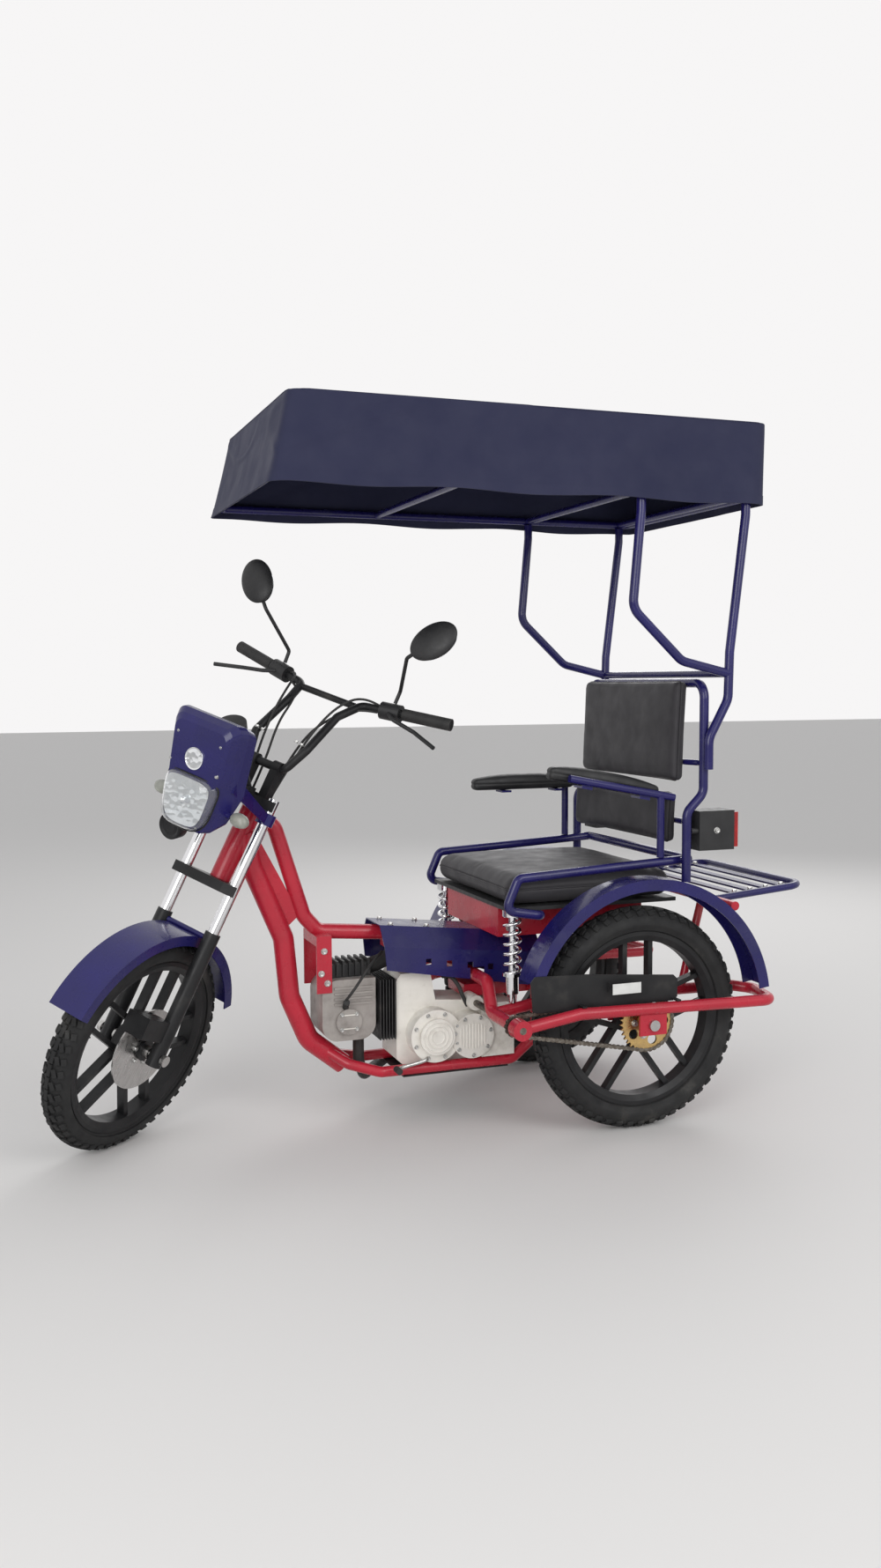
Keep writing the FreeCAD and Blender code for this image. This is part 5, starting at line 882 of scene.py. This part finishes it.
def lofted_rings(rings, capped=True):
    """A skin through rings of points, each inside the one before, with its last one closed."""
    count = len(rings[0])
    skin = drawn(bpy.ops.mesh.primitive_circle_add, vertices=count, radius=0.01)
    bpy.ops.object.mode_set(mode="EDIT")
    for _ in rings[1:]:
        bpy.ops.mesh.extrude_edges_move(TRANSFORM_OT_translate={"value": (0, 0, 0.01)})
    bpy.ops.object.mode_set(mode="OBJECT")
    ring_points = [spot for ring in rings for spot in ring]
    for vertex, spot in zip(skin.data.vertices, ring_points):
        vertex.co = spot
    bpy.ops.object.mode_set(mode="EDIT")
    if capped:
        bpy.ops.mesh.select_mode(type="VERT")
        bpy.ops.mesh.select_all(action="DESELECT")
        bpy.ops.object.mode_set(mode="OBJECT")
        for vertex in skin.data.vertices[len(ring_points) - count:len(ring_points)]:
            vertex.select = True
        bpy.ops.object.mode_set(mode="EDIT")
        bpy.ops.mesh.edge_face_add()
    bpy.ops.mesh.select_all(action="SELECT")
    bpy.ops.mesh.normals_make_consistent(inside=False)
    bpy.ops.object.mode_set(mode="OBJECT")
    return skin


LENS_HALF = 84


def lens_ring(forward, half_high, half_low, low, high, lean, wrap=20, count=56):
    """One station of the lens: four-sided with round corners, wider above than below,
    its sides carried back round the cowl."""
    ring = []
    for number in range(count):
        turn = 2 * math.pi * number / count
        round_x = abs(math.cos(turn)) ** 0.46 * math.copysign(1, math.cos(turn))
        round_z = abs(math.sin(turn)) ** 0.46 * math.copysign(1, math.sin(turn))
        share = (round_z + 1) / 2
        half = half_low + (half_high - half_low) * share
        height = low + (high - low) * share + 5 * (1 - round_x ** 2) * (round_z - 1) / 2
        carried = wrap * (abs(half * round_x) / LENS_HALF) ** 3
        ring.append(upright(forward - lean * share - carried, half * round_x, height))
    return ring


clear_glass = finish("lamp_glass", (40, 3), ((0.3, (0.95, 0.96, 0.96)), (0.75, (0.90, 0.92, 0.93))),
                     0.03, ((30, 2), 0.04, 0.002),
                     sockets={"Transmission Weight": 0.94, "IOR": 1.42})


def facets(tree, where):
    """The flat cells pressed in a reflector."""
    cells = tree.nodes.new("ShaderNodeTexVoronoi")
    cells.inputs["Scale"].default_value = 62
    tree.links.new(where, cells.inputs["Vector"])
    return cells.outputs["Distance"]


silvered = finish("silvered_bowl", (30, 3), ((0.3, (0.86, 0.87, 0.88)), (0.8, (0.76, 0.78, 0.80))),
                  0.16, (facets, 0.5, 0.004), metallic=1.0)
lens = lofted_rings([lens_ring(-13, LENS_HALF, 65, 600, 724, 13.4),
                     lens_ring(-3, 82, 63, 602, 721, 14.5),
                     lens_ring(5, 73, 57, 609, 714, 15.5),
                     lens_ring(12, 55, 43, 623, 701, 16),
                     lens_ring(15, 28, 22, 645, 682, 16.5)])
smoother(lens)
handed_over(walled(lens, 0.0022), "lamp_lens", clear_glass, "steering", 50)
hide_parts("headlight_lens")

bowl = lofted_rings([lens_ring(-9.5, 71, 53, 608, 716, 12.4, 3),
                     lens_ring(-11.5, 66, 49, 613, 711, 11.3, 3),
                     lens_ring(-15.5, 34, 26, 640, 686, 5.3, 3)])
handed_over(walled(bowl, 0.0008), "lamp_bowl", silvered, "steering", 50)
nose_way = fork.to_3x3() @ Matrix.Rotation(RAKE, 3, "Y") @ Vector((1, 0, 0))
bulb = drawn(bpy.ops.mesh.primitive_uv_sphere_add, segments=24, ring_count=12, radius=0.0105)
for vertex in bulb.data.vertices:
    vertex.co.z *= 0.85
bulb.data.transform(facing(upright(-9, 0, 664), nose_way))
handed_over(bulb, "lamp_bulb", silvered, "steering", 60)

# A thin black bead lies round the lens's edge. The badge above it is a bare silver
# disc with a raised rim.
bead = lofted_rings([lens_ring(-14.5, 86.5, 67.5, 597, 727, 13.4),
                     lens_ring(-10.5, 86.8, 67.8, 597, 727, 13.7),
                     lens_ring(-9.2, 85.4, 66.4, 598.5, 725.5, 13.8),
                     lens_ring(-11.4, 84.2, 65.2, 599.6, 724.4, 13.8)], capped=False)
handed_over(bead, "lens_bezel", black_satin, "steering", 50)
badge = drawn(bpy.ops.mesh.primitive_cylinder_add, vertices=64, radius=0.027, depth=0.005,
              location=(0, 0, 0.0005))
fixed_in_place(badge)
stepped(badge, (0.0035, -0.0016), (0.004, 0.0010))
fixed_in_place(bevelled(badge, 0.0008, 2))
badge.data.transform(facing(upright(-32, 0, 764), upright(-14, 0, 764) - upright(-32, 0, 762)))
handed_over(badge, "bare_badge", silvered, "steering", 40)

cowl_screws = []
for across, height in ((-66, 812), (66, 812), (-72, 742), (72, 742), (-48, 606), (48, 606)):
    # The cowl's face leans back 28 mm from its foot at 600 mm to its top at 843 mm
    cowl_face = -18 - 28 * (height - 600) / 243
    cowl_screws.append(facing(upright(cowl_face, across, height), nose_way))
handed_over(repeated(hex_bolt(0.007, 0.003), cowl_screws), "cowl_screws", zinc, "steering")

# The horn: a black pressed steel disc with rings rolled in its face, on the far side
# below the cowl.
horn = drawn(bpy.ops.mesh.primitive_cylinder_add, vertices=48, radius=0.034, depth=0.030)
stepped(horn, (0.004, 0.002), (0.008, -0.005), (0.006, 0.003), (0.006, -0.002))
fixed_in_place(bevelled(horn, 0.002, 2))
horn.data.transform(facing(upright(-62, -58, 566), nose_way))
handed_over(horn, "horn", black_satin, "steering", 40)

# The mirrors' glasses, set in the backs of the black cases, the handlebar's clamp
# bolts on the upper yoke, and the cables tied along the bar.
mirror_glass = finish("mirror_glass", (12, 3),
                      ((0.3, (0.80, 0.82, 0.83)), (0.8, (0.70, 0.73, 0.75))), 0.03,
                      ((25, 2), 0.03, 0.002), metallic=1.0)
glasses = []
for side in (-1, 1):
    glass = drawn(bpy.ops.mesh.primitive_cylinder_add, vertices=48, radius=1, depth=1)
    glass.scale = (0.0405, 0.0595, 0.0022)
    fixed_in_place(glass)
    fixed_in_place(bevelled(glass, 0.0006, 2))
    # The glass looks back along the bar's own way, tilted with its case
    glass.data.transform(fork @ Matrix.Translation((0.005, 0.286 * side, 1.213))
                         @ Matrix.Rotation(math.radians(-42 * side), 4, "X")
                         @ Matrix.Translation((-0.0152, 0, 0))
                         @ Matrix.Rotation(math.radians(-90), 4, "Y")
                         @ Matrix.Rotation(math.radians(90), 4, "Z"))
    glasses.append(glass)
handed_over(joined(glasses), "mirror_glasses", mirror_glass, "steering", 40)


def on_fork(forward, across, height):
    """A point in millimetres in the steering's own way, up along the fork."""
    return fork @ Vector((forward / 1000, across / 1000, height / 1000))


yoke_bolts = [facing(on_fork(forward, side * 64, 846), fork.to_3x3() @ Vector((0, 0, 1)))
              for side in (-1, 1) for forward in (12, 40)]
handed_over(repeated(hex_bolt(0.009, 0.005), yoke_bolts), "yoke_bolts", zinc,
            "steering")

# Cables: four black sleeves leave the controls, follow the bar and drop behind the cowl
outer_run = ((-118, 150, 1030), (-92, 110, 1036), (-40, 84, 985), (-6, 70, 905), (6, 56, 800),
             (2, 40, 700))
inner_run = ((-122, 148, 1012), (-104, 96, 1000), (-60, 66, 950), (-14, 48, 880),
             (-10, 30, 770), (2, 22, 690))
for number, (side, run) in enumerate(((1, outer_run), (1, inner_run), (-1, outer_run),
                                      (-1, inner_run)), 1):
    spots = [on_fork(forward, side * across, height) for forward, across, height in run]
    handed_over(round_run(f"tied_cable_{number}", spots, 0.0032, fineness=3),
                f"tied_cable_{number}", soft_rubber, "steering", 60)

# Engine trims: plated screws hold the round covers and the head's side plates. The
# covers have rings and ribs of their own casting, and the left plate has two bars.
CAP_AHEAD, CAP_HEIGHT = 474, 230
COVER_AHEAD, COVER_HEIGHT = 372, 222
HEAD_AHEAD, HEAD_HEIGHT, HEAD_SIDE = 700, 280, 69.7
screws = (circle_of(8, 0.061, ahead(CAP_AHEAD, 110, CAP_HEIGHT), math.pi / 8)
          + circle_of(7, 0.052, ahead(COVER_AHEAD, 114, COVER_HEIGHT), 0.2)
          + circle_of(4, 0.028, ahead(HEAD_AHEAD, HEAD_SIDE, HEAD_HEIGHT), math.pi / 4)
          + circle_of(4, 0.028, ahead(HEAD_AHEAD, -HEAD_SIDE, HEAD_HEIGHT), math.pi / 4, -1))
handed_over(repeated(hex_bolt(0.008, 0.004), screws), "engine_screws", zinc, "chassis")


def cast_rib(middle, size):
    """A straight rib with broken edges."""
    rib = drawn(bpy.ops.mesh.primitive_cube_add, size=1, location=middle)
    rib.scale = size
    fixed_in_place(rib)
    fixed_in_place(bevelled(rib, 0.0008, 2))
    return rib


trims = [drawn(bpy.ops.mesh.primitive_torus_add, major_radius=radius, minor_radius=0.0022,
               major_segments=72, minor_segments=8, location=ahead(CAP_AHEAD, 122, CAP_HEIGHT),
               rotation=(math.pi / 2, 0, 0)) for radius in (0.040, 0.029, 0.018)]
for number in range(-4, 5):
    chord = 0.0688 * math.sqrt(1 - (number / 5.4) ** 2)
    trims.append(cast_rib(ahead(COVER_AHEAD + 8.5 * number, 114.6, COVER_HEIGHT),
                          (0.0026, 0.0030, chord)))
for rise in (-18, 18):
    trims.append(cast_rib(ahead(HEAD_AHEAD, HEAD_SIDE + 0.5, HEAD_HEIGHT + rise),
                          (0.046, 0.0030, 0.0030)))
handed_over(joined(trims), "cover_ribs", cast_alloy, "chassis", 40)

# The label on the chain guard: a blank white sticker of thin film, laid on the guard's
# outer face.
paper_white = finish("label_white", (40, 5),
                     ((0.3, (0.72, 0.72, 0.70)), (0.8, (0.60, 0.60, 0.58))), 0.45,
                     ((200, 2), 0.05, 0.0005))
guard_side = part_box("chain_guard")[1].y * 1000
label = drawn(bpy.ops.mesh.primitive_cube_add, size=1, location=ahead(78, guard_side + 0.4, 391.5))
label.scale = (0.080, 0.0010, 0.027)
fixed_in_place(label)
bpy.ops.object.mode_set(mode="EDIT")
bpy.ops.mesh.select_all(action="SELECT")
bpy.ops.mesh.subdivide(number_cuts=4)
bpy.ops.object.mode_set(mode="OBJECT")
handed_over(bevelled(label, 0.0003, 1), "blank_label", paper_white, "chassis",
            40)

# Round the engine: a black airbox hose from the intake, the spark plug's cap and lead,
# a breather pipe, and the gear lever with its rubber, in millimetres as ahead gives.
for name, radius, material, slot, run in (
    ("plug_lead", 0.0038, soft_rubber, "rubber",
     ((712, 66, 332), (716, 96, 344), (690, 104, 380), (640, 70, 430), (600, 36, 452))),
    ("plug_cap", 0.0085, soft_rubber, "rubber", ((708, 61, 318), (711, 74, 326), (713, 92, 338))),
    ("breather", 0.0055, soft_rubber, "rubber",
     ((430, 40, 372), (424, 78, 384), (404, 92, 356), (396, 96, 330), (380, 92, 300))),
    ("intake_hose", 0.021, soft_rubber, "rubber",
     ((632, 0, 408), (604, 0, 414), (580, 0, 424), (560, 0, 434))),
    ("gear_lever", 0.0050, zinc, "steel",
     ((500, 104, 176), (500, 116, 174), (520, 118, 168), (584, 118, 158), (590, 132, 158))),
    ("gear_lever_rubber", 0.0085, soft_rubber, "rubber",
     ((590, 122, 158), (590, 136, 158), (590, 150, 158))),
):
    handed_over(round_run(name, [ahead(*spot) for spot in run], radius), name, material,
                "chassis", 60)
